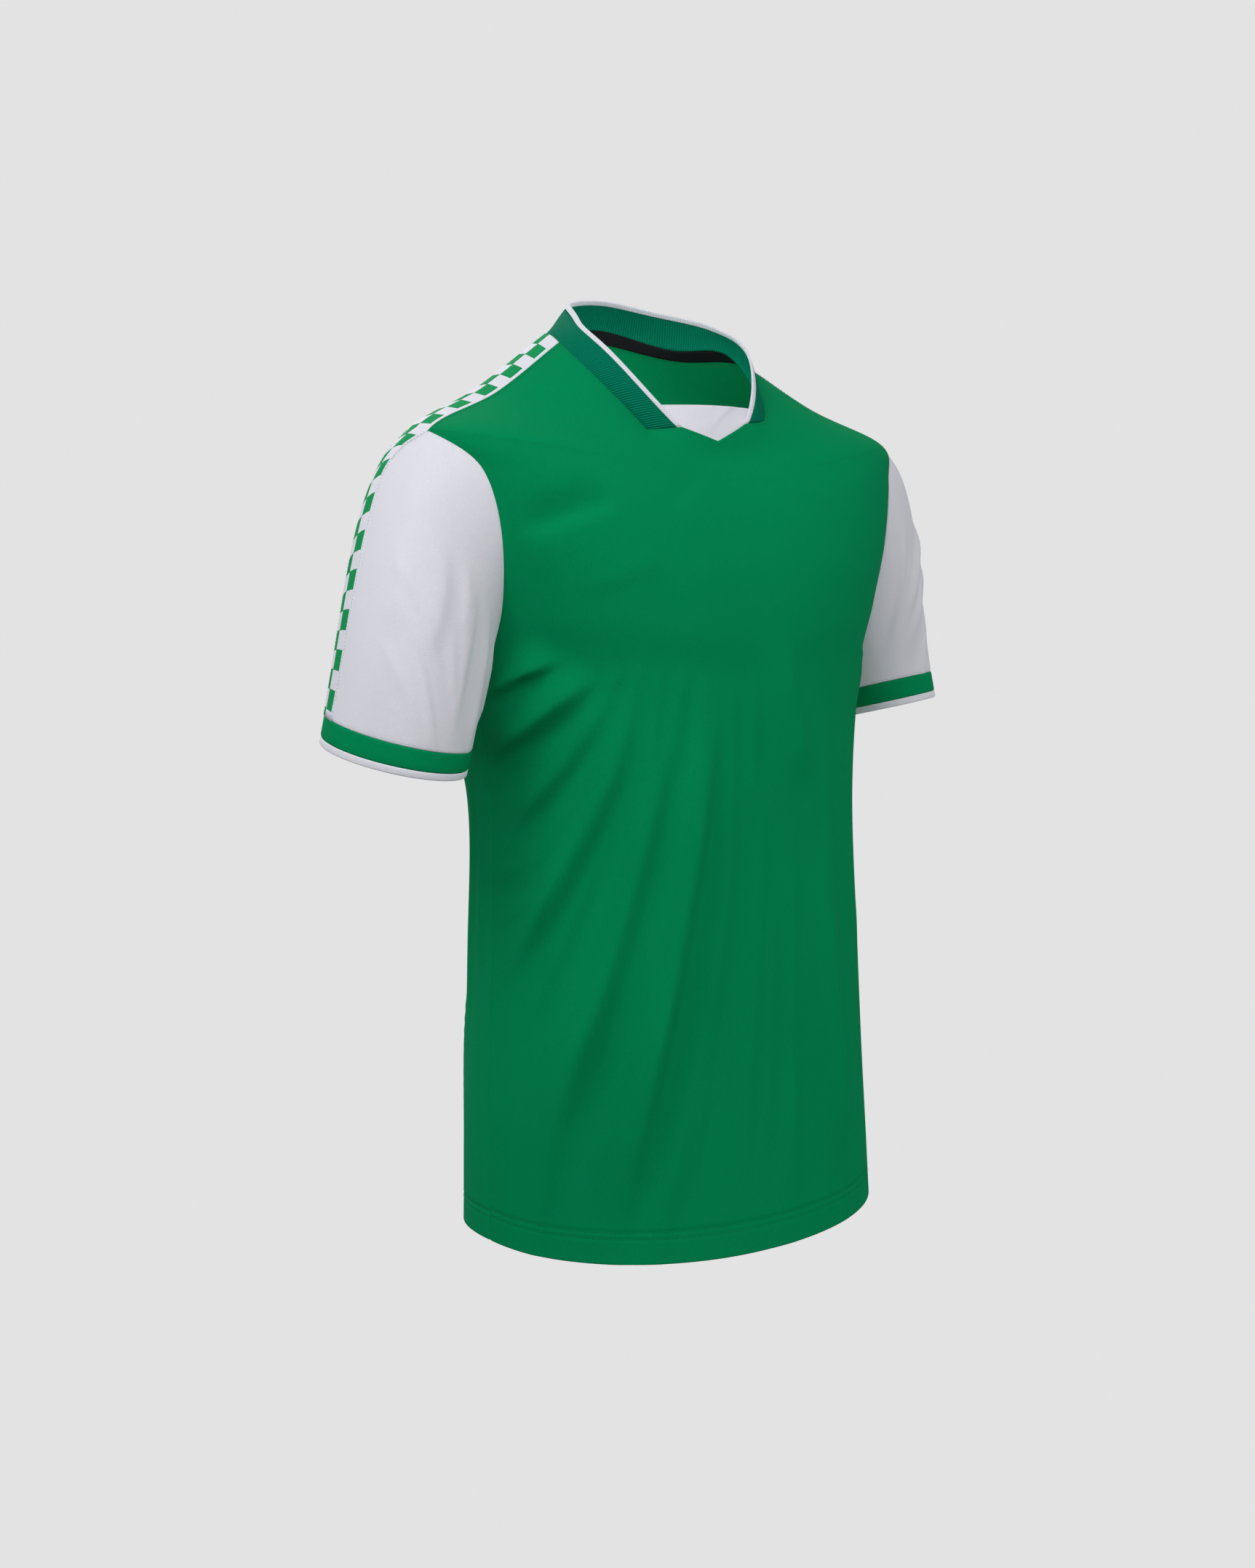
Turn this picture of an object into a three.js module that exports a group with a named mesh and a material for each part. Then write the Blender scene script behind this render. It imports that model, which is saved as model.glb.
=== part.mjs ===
import * as THREE from 'three';

// A short-sleeved football jersey in its worn form, hollow, with nobody inside.
// Millimetres. +Z is up, -Y is the front and +X is the wearer's left.
// The origin lies between the shoulders, level with the top of the right shoulder seam.
// An angle round the body is 0 at the centre front, 90 at the wearer's left and 180 at the back.

const CLOTH = 1.5;           // wall of the body and the sleeves
const HEM_WALL = 2.6;        // wall where the hem is turned up
const RIB_WALL = 1.8;        // knitted collar
const TRIM_WALL = 0.9;       // tapes and the neck insert
const SEAM_GAP = 0.3;        // daylight between two pieces at a seam
const LIFT = 0.35;           // daylight between a tape and the cloth under it

const HEM_ROW = 0.21;        // top of the turned hem, as a share of the first stretch of the body
const TAPE_WIDTH = 34.5;     // shoulder and sleeve tape
const NECK_TAPE_ROW = 9.81;  // lower edge of the neck tape, as a place along the body
const NECK_TAPE_TOP = 9.985; // upper edge of the neck tape
const NECK_TAPE_FRONT = 5;   // columns of the front that the neck tape runs on over
const CUFF_BAND = 22;        // height of both cuff pieces together
const CUFF_TIP = 5.6;        // height of the light edge of the cuff
const COLLAR_TIP = 4.5;      // width of the light edge of the collar
const COLLAR_BULGE = 1.5;    // how far the collar rounds out between its edges
const COLLAR_STEPS = 36;

const INSERT_HALF_ANGLE = 30;
const INSERT_TOP_Z = -66;
const INSERT_LEAN = 9.5;     // how far the insert's top edge lies inside the neckline
const INSERT_BEHIND = 2.6;   // how far the insert lies behind the outer face of the front
const INSERT_LOW_ROW = 9.35; // lower edge of the insert, as a place along the body

const GREEN = 0x047a4d;
const RIB_GREEN = 0x057550;
const WHITE = 0xd9d9e0;
const BLACK = 0x101214;

// A table from the names of its columns and its rows.
function table(columns, rows) {
  const names = columns.split(' ');
  return rows.map((row) => Object.fromEntries(names.map((name, i) => [name, row[i]])));
}

// Level sections of the body from the hem up: half width, depth to the front and to the back of
// their centre, squareness of the oval, centre, heights at front, side and back, and how
// quickly the height changes away from the side.
const SECTIONS = table('name half front back square y zFront zSide zBack crest', [
  ['hem', 171.1, 135.9, 140.9, 2.3, 2.2, -713.0, -705.1, -718.2, 2],
  ['hip', 167.7, 134.6, 133.5, 2.3, 2.6, -614.4, -608.4, -612.4, 2],
  ['waist', 161.7, 132.6, 127.4, 2.3, -0.6, -484.4, -482.4, -484.4, 2],
  ['rib', 158.7, 131.4, 119.9, 2.35, -1.1, -374.4, -372.4, -374.4, 2],
  ['chest', 171.3, 132.5, 125.1, 2.4, -0.3, -280.4, -266.4, -270.4, 2],
  ['bust', 184.0, 131.5, 125.0, 2.5, -3.5, -238.4, -214.4, -220.4, 1.9],
  ['arm', 199.0, 126.0, 124.0, 2.55, -6.5, -194.4, -160.4, -164.4, 1.7],
  ['yoke', 210.7, 114.0, 119.0, 2.5, -8.5, -152.4, -111.5, -116.4, 1.4],
  ['point', 213.0, 99.0, 114.0, 2.4, -8.9, -124.4, -82.0, -94.0, 1.18],
  ['slope', 150.2, 98.0, 95.0, 2.3, 0.9, -107.4, -50.2, -44.0, 1.12],
]);
const UNDERARM = 4;          // section that the armhole starts from
const SHOULDER = 8;          // section that the armhole ends at
const NECK = SECTIONS.length;
const NECK_CENTRE_Y = 4.1;

// The neckline, where the body meets the collar. It dips in a shallow V at the front.
// Angles go round the back, so the wearer's left side has the lower numbers.
const NECKLINE_BACK = table('angle radius z', [
  [-326.5, 100.7, -75.4],
  [-300.0, 90.0, -44.5],
  [-270.0, 82.0, -10.0],
  [-235.0, 75.2, -2.5],
  [-180.0, 70.2, 13.8],
  [-125.0, 77.1, -2.0],
  [-90.0, 86.0, -5.5],
  [-60.0, 99.5, -36.0],
  [-33.5, 97.4, -84.9],
]);
const NECKLINE_FRONT = table('angle radius z', [
  [-33.5, 97.4, -84.9],
  [-17.9, 96.8, -83.4],
  [0, 98.1, -93.8],
  [17.9, 97.8, -79.6],
  [33.5, 100.7, -75.4],
]);
const CORNER_ANGLE = 33.5;   // outer lower corners of the collar
const VEE_ANGLE = 17.9;      // where the collar's cut ends and the V starts

// The free edge of the collar.
const COLLAR_EDGE = table('angle radius z', [
  [-341.5, 97.2, -77.6],
  [-305.0, 84.2, -18.0],
  [-270.0, 71.8, 9.4],
  [-235.0, 61.5, 23.4],
  [-180.0, 54.0, 34.1],
  [-125.0, 57.5, 26.0],
  [-90.0, 60.5, 9.8],
  [-55.0, 84.2, -17.5],
  [-18.5, 96.6, -81.6],
]);

// Armhole: how far round the body it reaches, in degrees in front of and behind the side.
const ARMHOLE_FRONT = 20.4;
const ARMHOLE_BACK = 18;
const SHOULDER_ROWS = [10, NECK_TAPE_ROW, 9.5, 9.15, 8.8, 8.4];
const TAPE_CROWN = 0.08;     // the tape's last shoulder row bows up the shoulder by this much
const TAPE_START = 1;        // the tape starts this far from the collar
const ARM_STEPS = 14;        // steps along each half of an armhole
const CUT_POWER = 3;         // how quickly the columns beside an armhole give way to it
const FINE_STEP = 0.125;     // rows just under the armhole lie this close, as a share of a stretch
const FINE_UNTIL = 3;        // place where the rows turn twice as wide

// Sleeves: where the cuff's edge lies, how far it leans out and forward, its two half widths,
// and how strongly the cloth leaves the armhole, over the arm and under it, and reaches the cuff.
const SLEEVES = table('name side x y z out forward half depth leave under reach', [
  ['right', -1, -245.5, -12.7, -324.5, 0.164, -0.214, 53.7, 63.2, 0.6, 1.2, 1.28],
  ['left', 1, 243.7, 20.0, -312.8, 0.131, 0.132, 52.8, 65.3, 0.6, 0.6, 1.0],
]);
const TAPE_DRIFT = 18;       // degrees that the tape turns to the back below the shoulder
const DRIFT_END = 0.3;       // share of the sleeve over which it does so
const SLEEVE_ROWS = 8;
const SLEEVE_PUSH = 0.45;    // clearance of the sleeve's first ring from the armhole

// Large soft folds, each a curved line on the body through three points given as an angle and
// a height. Rise is its greatest height off the plain body and width is measured across it.
const FOLDS = table('name startAngle startZ midAngle midZ endAngle endZ rise width', [
  ['armpit upper', -58, -252, -71, -268, -84, -283, 4.5, 11],
  ['armpit lower', -50, -264, -65, -298, -86, -331, 5.0, 13],
  ['short sweep', -47, -276, -60, -334, -84, -391, 3.0, 13],
  ['middle sweep', -39, -272, -56.5, -392, -85, -508, 5.0, 15],
  ['long sweep', -28, -262, -47, -463, -71, -656, 5.5, 16],
  ['centre sweep', -14, -262, -31, -476, -49, -690, 6.0, 18],
  ['left upright', 27, -395, 31, -547, 37, -696, 3.0, 16],
  ['left breast', 11, -236, 17, -305, 22, -370, 2.0, 15],
  ['shoulder dip', -45, -136, -55, -150, -68, -164, -2.5, 13],
  ['back right', 204, -270, 222, -455, 246, -640, 5.0, 17],
  ['back centre', 176, -240, 184, -470, 196, -700, 4.5, 18],
  ['back left', 152, -260, 136, -435, 118, -610, 4.5, 16],
]);
const FOLD_FADE = 0.35;      // share of a fold's length over which each end dies away
const FOLD_STEPS = 16;       // straight steps that a fold's line is measured by
const FOLD_REACH = 60;       // beyond this height from its line a fold isn't felt
const ARM_CALM = [1.02, 1.3];   // folds grow between these distances from the armhole's oval
const SHOULDER_CALM = [7, 8];   // and die away between these places towards the shoulder

// How far apart two normals point when their walls start and stop sharing an end face.
const MITRE_FROM = -0.7;
const MITRE_FULL = 0.1;
const UNDERARM_PUSH = 1.5;   // how much of a sleeve's clearance is away from the body underneath
const SEAM_SHARE = 0.03;     // share down the sleeve where its direction at the seam is read
const CAP_FALLOFF = 6;       // how quickly the shoulder's direction gives way round the armhole
const CAP_STEP = 0.5;        // place over which the shoulder's direction is measured
const DIAGONAL_BIAS = 1.2;   // how much longer a diagonal may be before the other one is used
const ANGLE_STEP = 0.5;
const PLACE_STEP = 0.01;
const SHARE_STEP = 0.003;
const ACROSS_STEP = 0.02;

const RADIANS = Math.PI / 180;
const vec = (x, y, z) => new THREE.Vector3(x, y, z);
const clamp = THREE.MathUtils.clamp;
const smooth = THREE.MathUtils.smoothstep;

function polarRadius(angle, half, front, back, square) {
  const c = Math.cos(angle);
  const s = Math.sin(angle);
  const depth = c > 0 ? front : back;
  return (Math.abs(c / depth) ** square + Math.abs(s / half) ** square) ** (-1 / square);
}

// A smooth line through a table's rows, read at one angle.
function splineRow(rows, angle) {
  const last = rows.length - 2;
  let k = 0;
  while (k < last && angle > rows[k + 1].angle) k += 1;
  const t = (angle - rows[k].angle) / (rows[k + 1].angle - rows[k].angle);
  const slope = (i, key) => {
    const a = rows[Math.max(i - 1, 0)];
    const b = rows[Math.min(i + 1, rows.length - 1)];
    return (b[key] - a[key]) / (b.angle - a.angle);
  };
  const span = rows[k + 1].angle - rows[k].angle;
  const read = (key) => {
    const p = rows[k][key];
    const q = rows[k + 1][key];
    const m = slope(k, key) * span;
    const n = slope(k + 1, key) * span;
    return (2 * t ** 3 - 3 * t ** 2 + 1) * p + (t ** 3 - 2 * t ** 2 + t) * m
      + (-2 * t ** 3 + 3 * t ** 2) * q + (t ** 3 - t ** 2) * n;
  };
  return { radius: read('radius'), z: read('z') };
}

function straightRow(rows, angle) {
  let k = 0;
  while (k < rows.length - 2 && angle > rows[k + 1].angle) k += 1;
  const t = (angle - rows[k].angle) / (rows[k + 1].angle - rows[k].angle);
  return {
    radius: THREE.MathUtils.lerp(rows[k].radius, rows[k + 1].radius, t),
    z: THREE.MathUtils.lerp(rows[k].z, rows[k + 1].z, t),
  };
}

function roundNeck(angle, row) {
  const a = angle * RADIANS;
  return vec(row.radius * Math.sin(a), NECK_CENTRE_Y - row.radius * Math.cos(a), row.z);
}

function neckline(angle) {
  const turn = ((angle + 180) % 360 + 360) % 360 - 180;
  if (Math.abs(turn) <= CORNER_ANGLE) return roundNeck(turn, straightRow(NECKLINE_FRONT, turn));
  return roundNeck(turn, splineRow(NECKLINE_BACK, turn > 0 ? turn - 360 : turn));
}

function sectionPoint(index, angle) {
  if (index >= NECK) return neckline(angle);
  const row = SECTIONS[index];
  const a = angle * RADIANS;
  const r = polarRadius(a, row.half, row.front, row.back, row.square);
  const c = Math.cos(a);
  const end = c > 0 ? row.zFront : row.zBack;
  const z = row.zSide + (end - row.zSide) * Math.abs(c) ** row.crest;
  return vec(r * Math.sin(a), row.y - r * c, z);
}

// The plain surface of the body: place 0 is the hem, 10 is the neckline.
function bodyPlain(angle, place) {
  const at = clamp(place, 0, NECK);
  const i = Math.min(Math.floor(at), NECK - 1);
  const t = at - i;
  const p1 = sectionPoint(i, angle);
  const p2 = sectionPoint(i + 1, angle);
  const p0 = i > 0 ? sectionPoint(i - 1, angle) : p1.clone().multiplyScalar(2).sub(p2);
  const p3 = i + 2 <= NECK ? sectionPoint(i + 2, angle) : p2.clone().multiplyScalar(2).sub(p1);
  const m1 = p2.clone().sub(p0).multiplyScalar(0.5);
  const m2 = p3.clone().sub(p1).multiplyScalar(0.5);
  return hermite(p1, m1, p2, m2, t);
}

function hermite(p1, m1, p2, m2, t) {
  return p1.clone().multiplyScalar(2 * t ** 3 - 3 * t ** 2 + 1)
    .addScaledVector(m1, t ** 3 - 2 * t ** 2 + t)
    .addScaledVector(p2, -2 * t ** 3 + 3 * t ** 2)
    .addScaledVector(m2, t ** 3 - t ** 2);
}

function normalAt(surface, u, v, du, dv) {
  const a = surface(u + du, v).sub(surface(u - du, v));
  const b = surface(u, v + dv).sub(surface(u, v - dv));
  return a.cross(b).normalize();
}

function bodyPlainNormal(angle, place) {
  const at = clamp(place, PLACE_STEP, NECK - PLACE_STEP);
  return normalAt(bodyPlain, angle, at, ANGLE_STEP, PLACE_STEP);
}

// How far a place lies outside the armhole's oval: 1 is on its edge.
function armholeDistance(angle, place) {
  const turn = ((angle % 360) + 360) % 360;
  const fromSide = turn > 180 ? turn - 270 : 90 - turn;
  const reach = fromSide > 0 ? ARMHOLE_FRONT : ARMHOLE_BACK;
  const middle = (UNDERARM + SHOULDER) / 2;
  return Math.hypot(fromSide / reach, (place - middle) / (SHOULDER - middle));
}

// A fold's line as short straight steps.
function foldLine(fold) {
  return Array.from({ length: FOLD_STEPS + 1 }, (_, k) => {
    const t = k / FOLD_STEPS;
    const read = (key) => {
      const start = fold[`start${key}`];
      const end = fold[`end${key}`];
      const bend = 4 * (fold[`mid${key}`] - (start + end) / 2);
      return start + (end - start) * t + bend * t * (1 - t);
    };
    return { angle: read('Angle'), z: read('Z') };
  });
}

const FOLD_LINES = FOLDS.map(foldLine);

// The distance to a line of steps in millimetres, and the share of the line passed there.
function nearestOnLine(line, angle, z, radius) {
  const arc = RADIANS * radius;
  const wrap = (turn) => ((turn + 180) % 360 + 360) % 360 - 180;
  let best = { distance: Infinity, share: 0 };
  for (let k = 0; k < line.length - 1; k += 1) {
    const x = wrap(angle - line[k].angle) * arc;
    const y = z - line[k].z;
    const stepX = (line[k + 1].angle - line[k].angle) * arc;
    const stepY = line[k + 1].z - line[k].z;
    const t = clamp((x * stepX + y * stepY) / (stepX * stepX + stepY * stepY), 0, 1);
    const distance = Math.hypot(x - t * stepX, y - t * stepY);
    if (distance < best.distance) best = { distance, share: (k + t) / (line.length - 1) };
  }
  return best;
}

function foldHeight(angle, z, radius) {
  let sum = 0;
  FOLDS.forEach((fold, k) => {
    if (z > fold.startZ + FOLD_REACH || z < fold.endZ - FOLD_REACH) return;
    const { distance, share } = nearestOnLine(FOLD_LINES[k], angle, z, radius);
    const ends = smooth(share, 0, FOLD_FADE) * (1 - smooth(share, 1 - FOLD_FADE, 1));
    sum += fold.rise * ends * Math.exp(-((distance / fold.width) ** 2));
  });
  return sum;
}

// The body with its folds.
function body(angle, place) {
  const p = bodyPlain(angle, place);
  const calm = smooth(armholeDistance(angle, place), ...ARM_CALM)
    * (1 - smooth(place, ...SHOULDER_CALM));
  if (calm === 0) return p;
  const rise = foldHeight(angle, p.z, Math.hypot(p.x, p.y)) * calm;
  return p.addScaledVector(bodyPlainNormal(angle, place), rise);
}

function bodyNormal(angle, place) {
  const at = clamp(place, PLACE_STEP, NECK - PLACE_STEP);
  return normalAt(body, angle, at, ANGLE_STEP, PLACE_STEP);
}

// The armhole: 0 is the shoulder point, 90 the front, 180 the underarm and 270 the back.
function armholeAngle(turn, side) {
  const s = Math.sin(turn * RADIANS);
  return side * (90 - (s > 0 ? ARMHOLE_FRONT : ARMHOLE_BACK) * s);
}

function armholePlace(turn) {
  const middle = (UNDERARM + SHOULDER) / 2;
  return middle + (SHOULDER - middle) * Math.cos(turn * RADIANS);
}

function sleeveEnds(sleeve, turn) {
  const { side, out, forward } = sleeve;
  const start = bodyPlain(armholeAngle(turn, side), armholePlace(turn));
  const along = vec(side * Math.sin(out), -forward, -Math.cos(out)).normalize();
  const outward = vec(side, 0, 0);
  outward.addScaledVector(along, -outward.dot(along)).normalize();
  const ahead = vec(0, -1, 0);
  ahead.addScaledVector(along, -ahead.dot(along)).normalize();
  const end = vec(sleeve.x, sleeve.y, sleeve.z)
    .addScaledVector(outward, sleeve.half * Math.cos(turn * RADIANS))
    .addScaledVector(ahead, sleeve.depth * Math.sin(turn * RADIANS));
  const cap = bodyPlain(side * 90, SHOULDER).sub(bodyPlain(side * 90, SHOULDER + CAP_STEP));
  const high = Math.cos(turn * RADIANS / 2) ** CAP_FALLOFF;
  const leave = cap.normalize().multiplyScalar(high).addScaledVector(along, 1 - high).normalize();
  const length = end.distanceTo(start);
  return {
    start,
    end,
    leave: leave.multiplyScalar(length * (sleeve.under + (sleeve.leave - sleeve.under) * high)),
    reach: along.multiplyScalar(length * sleeve.reach),
  };
}

function sleevePoint(sleeve, turn, share) {
  const e = sleeveEnds(sleeve, turn);
  return hermite(e.start, e.leave, e.end, e.reach, share);
}

// The share of the sleeve's length that ends a given distance short of the cuff's edge.
function shareAbove(sleeve, turn, distance) {
  return 1 - distance / sleeveEnds(sleeve, turn).reach.length();
}

function sleeveNormal(sleeve, turn, share) {
  const at = clamp(share, PLACE_STEP, 1 - PLACE_STEP);
  const surface = (u, v) => sleevePoint(sleeve, u, v);
  return normalAt(surface, turn, at, ANGLE_STEP, PLACE_STEP).multiplyScalar(sleeve.side);
}

// Two walls that meet at an outward bend share one slanted end face.
function mitre(own, other) {
  const share = smooth(own.dot(other), MITRE_FROM, MITRE_FULL);
  return own.clone().addScaledVector(other, share).normalize();
}

function seamNormals(sleeve, turn) {
  const cloth = bodyPlainNormal(armholeAngle(turn, sleeve.side), armholePlace(turn));
  const arm = sleeveNormal(sleeve, turn, SEAM_SHARE);
  return { cloth: mitre(cloth, arm), arm: mitre(arm, cloth), away: cloth };
}

// A wall from a grid of surface points. The rows' outward side is row step x column step.
// A cell is split along its shorter diagonal, on both faces alike.
function wallGeometry(rows, { lift = 0, wall = CLOTH, closed = false }) {
  const height = rows.length;
  const width = rows[0].length;
  const positions = [];
  for (const face of [0, 1]) {
    for (const row of rows) {
      for (const at of row) {
        const depth = lift - face * (at.wall ?? wall);
        positions.push(...at.p.clone().addScaledVector(at.n, depth).toArray());
      }
    }
  }
  const index = [];
  const id = (face, j, i) => face * width * height + j * width + (i % width);
  const quad = (a, b, c, d) => index.push(a, b, c, a, c, d);
  const columns = closed ? width : width - 1;
  for (let j = 0; j < height - 1; j += 1) {
    for (let i = 0; i < columns; i += 1) {
      const k = (i + 1) % width;
      const rising = rows[j + 1][i].p.distanceTo(rows[j][k].p);
      const falling = rows[j + 1][k].p.distanceTo(rows[j][i].p);
      const corners = [[j + 1, i], [j + 1, i + 1], [j, i + 1], [j, i]];
      if (rising > DIAGONAL_BIAS * falling) corners.push(corners.shift());
      quad(...corners.map(([row, column]) => id(0, row, column)));
      const [a, b, c, d] = corners.map(([row, column]) => id(1, row, column));
      quad(a, d, c, b);
    }
  }
  const last = height - 1;
  for (let i = 0; i < columns; i += 1) {
    quad(id(0, 0, i), id(0, 0, i + 1), id(1, 0, i + 1), id(1, 0, i));
    quad(id(1, last, i), id(1, last, i + 1), id(0, last, i + 1), id(0, last, i));
  }
  for (let j = 0; j < height - 1 && !closed; j += 1) {
    const e = width - 1;
    quad(id(1, j, 0), id(1, j + 1, 0), id(0, j + 1, 0), id(0, j, 0));
    quad(id(0, j, e), id(0, j + 1, e), id(1, j + 1, e), id(1, j, e));
  }
  const geometry = new THREE.BufferGeometry();
  geometry.setAttribute('position', new THREE.Float32BufferAttribute(positions, 3));
  geometry.setIndex(index);
  geometry.computeVertexNormals();
  return geometry;
}

function pullBack(edge, inner, gap) {
  edge.forEach((at, i) => {
    const step = inner[i].p.clone().sub(at.p);
    at.p.addScaledVector(step.normalize(), gap);
  });
}

function pullSides(rows, gap) {
  for (const row of rows) {
    const n = row.length;
    pullBack([row[0], row[n - 1]], [row[1], row[n - 2]], gap);
  }
}

// Half the tape's width as an angle round the body at one place.
function tapeAngle(place) {
  const at = Math.max(place, SHOULDER);
  return Math.asin(TAPE_WIDTH / 2 / Math.abs(bodyPlain(-90, at).x)) / RADIANS;
}

// Half the tape's width as a turn round the armhole.
function tapeTurn(reach) {
  return Math.asin(tapeAngle(SHOULDER) / reach) / RADIANS;
}

// Places up the body where a panel has a row of points. Those beside the armhole match the
// sleeve's points.
function armTurns(reach) {
  const tape = tapeTurn(reach);
  const turns = [0, tape / 2, tape];
  const rest = ARM_STEPS - 2;
  for (let k = 1; k <= rest; k += 1) turns.push(tape + (180 - tape) * k / rest);
  return turns;
}

function panelRows(reach) {
  const arm = armTurns(reach).map(armholePlace);
  const lower = [];
  for (let place = UNDERARM - FINE_STEP; place > FINE_UNTIL; place -= FINE_STEP) lower.push(place);
  for (let place = FINE_UNTIL; place > HEM_ROW; place -= 2 * FINE_STEP) lower.push(place);
  return [...SHOULDER_ROWS, ...arm, ...lower, HEM_ROW + 0.02, HEM_ROW, 0];
}

// How far the armhole cuts into the panel at one place, in degrees.
function armholeCut(place, reach) {
  const middle = (UNDERARM + SHOULDER) / 2;
  const t = (place - middle) / (SHOULDER - middle);
  return reach * Math.sqrt(Math.max(0, 1 - t * t));
}

// Column marks across half a panel, 0 at its centre and 1 at the tape's edge.
function columnMarks(anglesAtNeck) {
  const edge = 90 - tapeAngle(NECK);
  return anglesAtNeck.map((angle) => angle / edge);
}

function spread(from, to, steps) {
  return Array.from({ length: steps }, (_, k) => from + (to - from) * (k + 1) / steps);
}

const FRONT_MARKS = columnMarks([
  ...spread(0, VEE_ANGLE, 4),
  ...spread(VEE_ANGLE, CORNER_ANGLE, 3),
  ...spread(CORNER_ANGLE, 90 - tapeAngle(NECK), 9),
]);
const BACK_MARKS = columnMarks(spread(0, 90 - tapeAngle(NECK), 10));

function columnAngles(place, reach, marks) {
  const cut = armholeCut(place, reach);
  const tape = tapeAngle(place);
  const columns = marks.map((mark) => mark * (90 - tape) - cut * mark ** CUT_POWER);
  const half = [...columns, 90 - cut - tape / 2, 90 - cut];
  return [...half.slice().reverse().map((a) => -a), 0, ...half];
}

function panel(centre, reach, marks) {
  const front = centre === 0;
  const turns = armTurns(reach);
  const armRows = SHOULDER_ROWS.length;
  const rows = panelRows(reach).map((place, j) => {
    const angles = columnAngles(place, reach, marks);
    const inArmhole = j > armRows && j < armRows + turns.length - 1;
    return angles.map((offset, i) => {
      const angle = centre + offset;
      const at = { p: body(angle, place), n: bodyNormal(angle, place) };
      const side = front ? Math.sign(offset) : -Math.sign(offset);
      if (inArmhole && (i === 0 || i === angles.length - 1)) {
        const turn = (front ? 1 : -1) * turns[j - armRows];
        at.n = seamNormals(SLEEVES[side < 0 ? 0 : 1], turn).cloth;
      }
      if (place >= NECK) at.n = neckNormal(angle).cloth;
      if (place <= HEM_ROW) at.wall = HEM_WALL;
      return at;
    });
  });
  pullBack(rows[0], rows[1], SEAM_GAP);
  pullSides(rows, SEAM_GAP / 2);
  return wallGeometry(rows, {});
}

// The sleeve's columns run the same way round as the body's.
function sleeveTurns(side) {
  const front = armTurns(ARMHOLE_FRONT);
  const back = armTurns(ARMHOLE_BACK).slice(1, -1).map((turn) => -turn);
  const turns = [...back.reverse(), ...front];
  return side < 0 ? turns : turns.reverse();
}

// A row of the sleeve. Its columns and the tape on them turn to the back below the shoulder.
function sleeveRow(sleeve, turns, shareOf) {
  return turns.map((column) => {
    const turn = column - TAPE_DRIFT * smooth(shareOf(column), 0, DRIFT_END);
    const share = shareOf(turn);
    return { p: sleevePoint(sleeve, turn, share), n: sleeveNormal(sleeve, turn, share) };
  });
}

function sleeveBody(sleeve) {
  const turns = sleeveTurns(sleeve.side);
  const rows = [];
  for (let j = 0; j <= SLEEVE_ROWS; j += 1) {
    const part = j / SLEEVE_ROWS;
    rows.push(sleeveRow(sleeve, turns, (turn) => part * shareAbove(sleeve, turn, CUFF_BAND)));
  }
  rows[0].forEach((at, i) => {
    const seam = seamNormals(sleeve, turns[i]);
    const down = Math.sin(turns[i] * RADIANS / 2) ** 2;
    const push = rows[1][i].p.clone().sub(at.p).normalize();
    push.addScaledVector(seam.away, down * UNDERARM_PUSH).normalize();
    at.n = seam.arm;
    at.p.addScaledVector(push, SLEEVE_PUSH);
  });
  return wallGeometry(rows, { closed: true });
}

function cuffRing(sleeve, high, low) {
  const turns = sleeveTurns(sleeve.side);
  const rows = [high, low].map((distance) => (
    sleeveRow(sleeve, turns, (turn) => shareAbove(sleeve, turn, distance))
  ));
  return wallGeometry(rows, { closed: true });
}

// One strip from the collar over the shoulder and down the sleeve to the cuff.
function shoulderTape(sleeve) {
  const { side } = sleeve;
  const marks = [-1, -0.5, 0, 0.5, 1];
  const rows = [...SHOULDER_ROWS, SHOULDER].map((place) => marks.map((k) => {
    const at = place > SHOULDER ? place : SHOULDER + TAPE_CROWN * (1 - Math.abs(k));
    const angle = side * 90 + k * tapeAngle(place);
    return { p: body(angle, at), n: bodyNormal(angle, at) };
  }));
  pullBack(rows[0], rows[1], TAPE_START);
  const turns = marks.map((k) => {
    const reach = k * side < 0 ? ARMHOLE_FRONT : ARMHOLE_BACK;
    return -side * k * tapeTurn(reach);
  });
  for (let j = 0; j <= SLEEVE_ROWS; j += 1) {
    const part = j / SLEEVE_ROWS;
    rows.push(sleeveRow(sleeve, turns, (turn) => part * shareAbove(sleeve, turn, CUFF_BAND)));
  }
  const seamRow = rows[SHOULDER_ROWS.length + 1];
  seamRow.forEach((at, i) => {
    at.n = seamNormals(sleeve, turns[i]).arm;
  });
  pullBack(rows[rows.length - 1], rows[rows.length - 2], TAPE_START / 2);
  return wallGeometry(rows, { lift: LIFT + TRIM_WALL, wall: TRIM_WALL });
}

// The collar is a strip between the neckline and its own free edge.
function collarPoint(share, across) {
  const seamAngle = -CORNER_ANGLE - share * (360 - 2 * CORNER_ANGLE);
  const edgeFrom = COLLAR_EDGE[COLLAR_EDGE.length - 1].angle;
  const edgeTo = COLLAR_EDGE[0].angle;
  const edgeAngle = edgeFrom + share * (edgeTo - edgeFrom);
  const low = roundNeck(seamAngle, splineRow(NECKLINE_BACK, seamAngle));
  const high = roundNeck(edgeAngle, splineRow(COLLAR_EDGE, edgeAngle));
  return low.lerp(high, across);
}

function collarNormal(share, across) {
  const u = clamp(share, SHARE_STEP, 1 - SHARE_STEP);
  const v = clamp(across, ACROSS_STEP, 1 - ACROSS_STEP);
  return normalAt(collarPoint, u, v, SHARE_STEP, ACROSS_STEP).negate();
}

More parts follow.
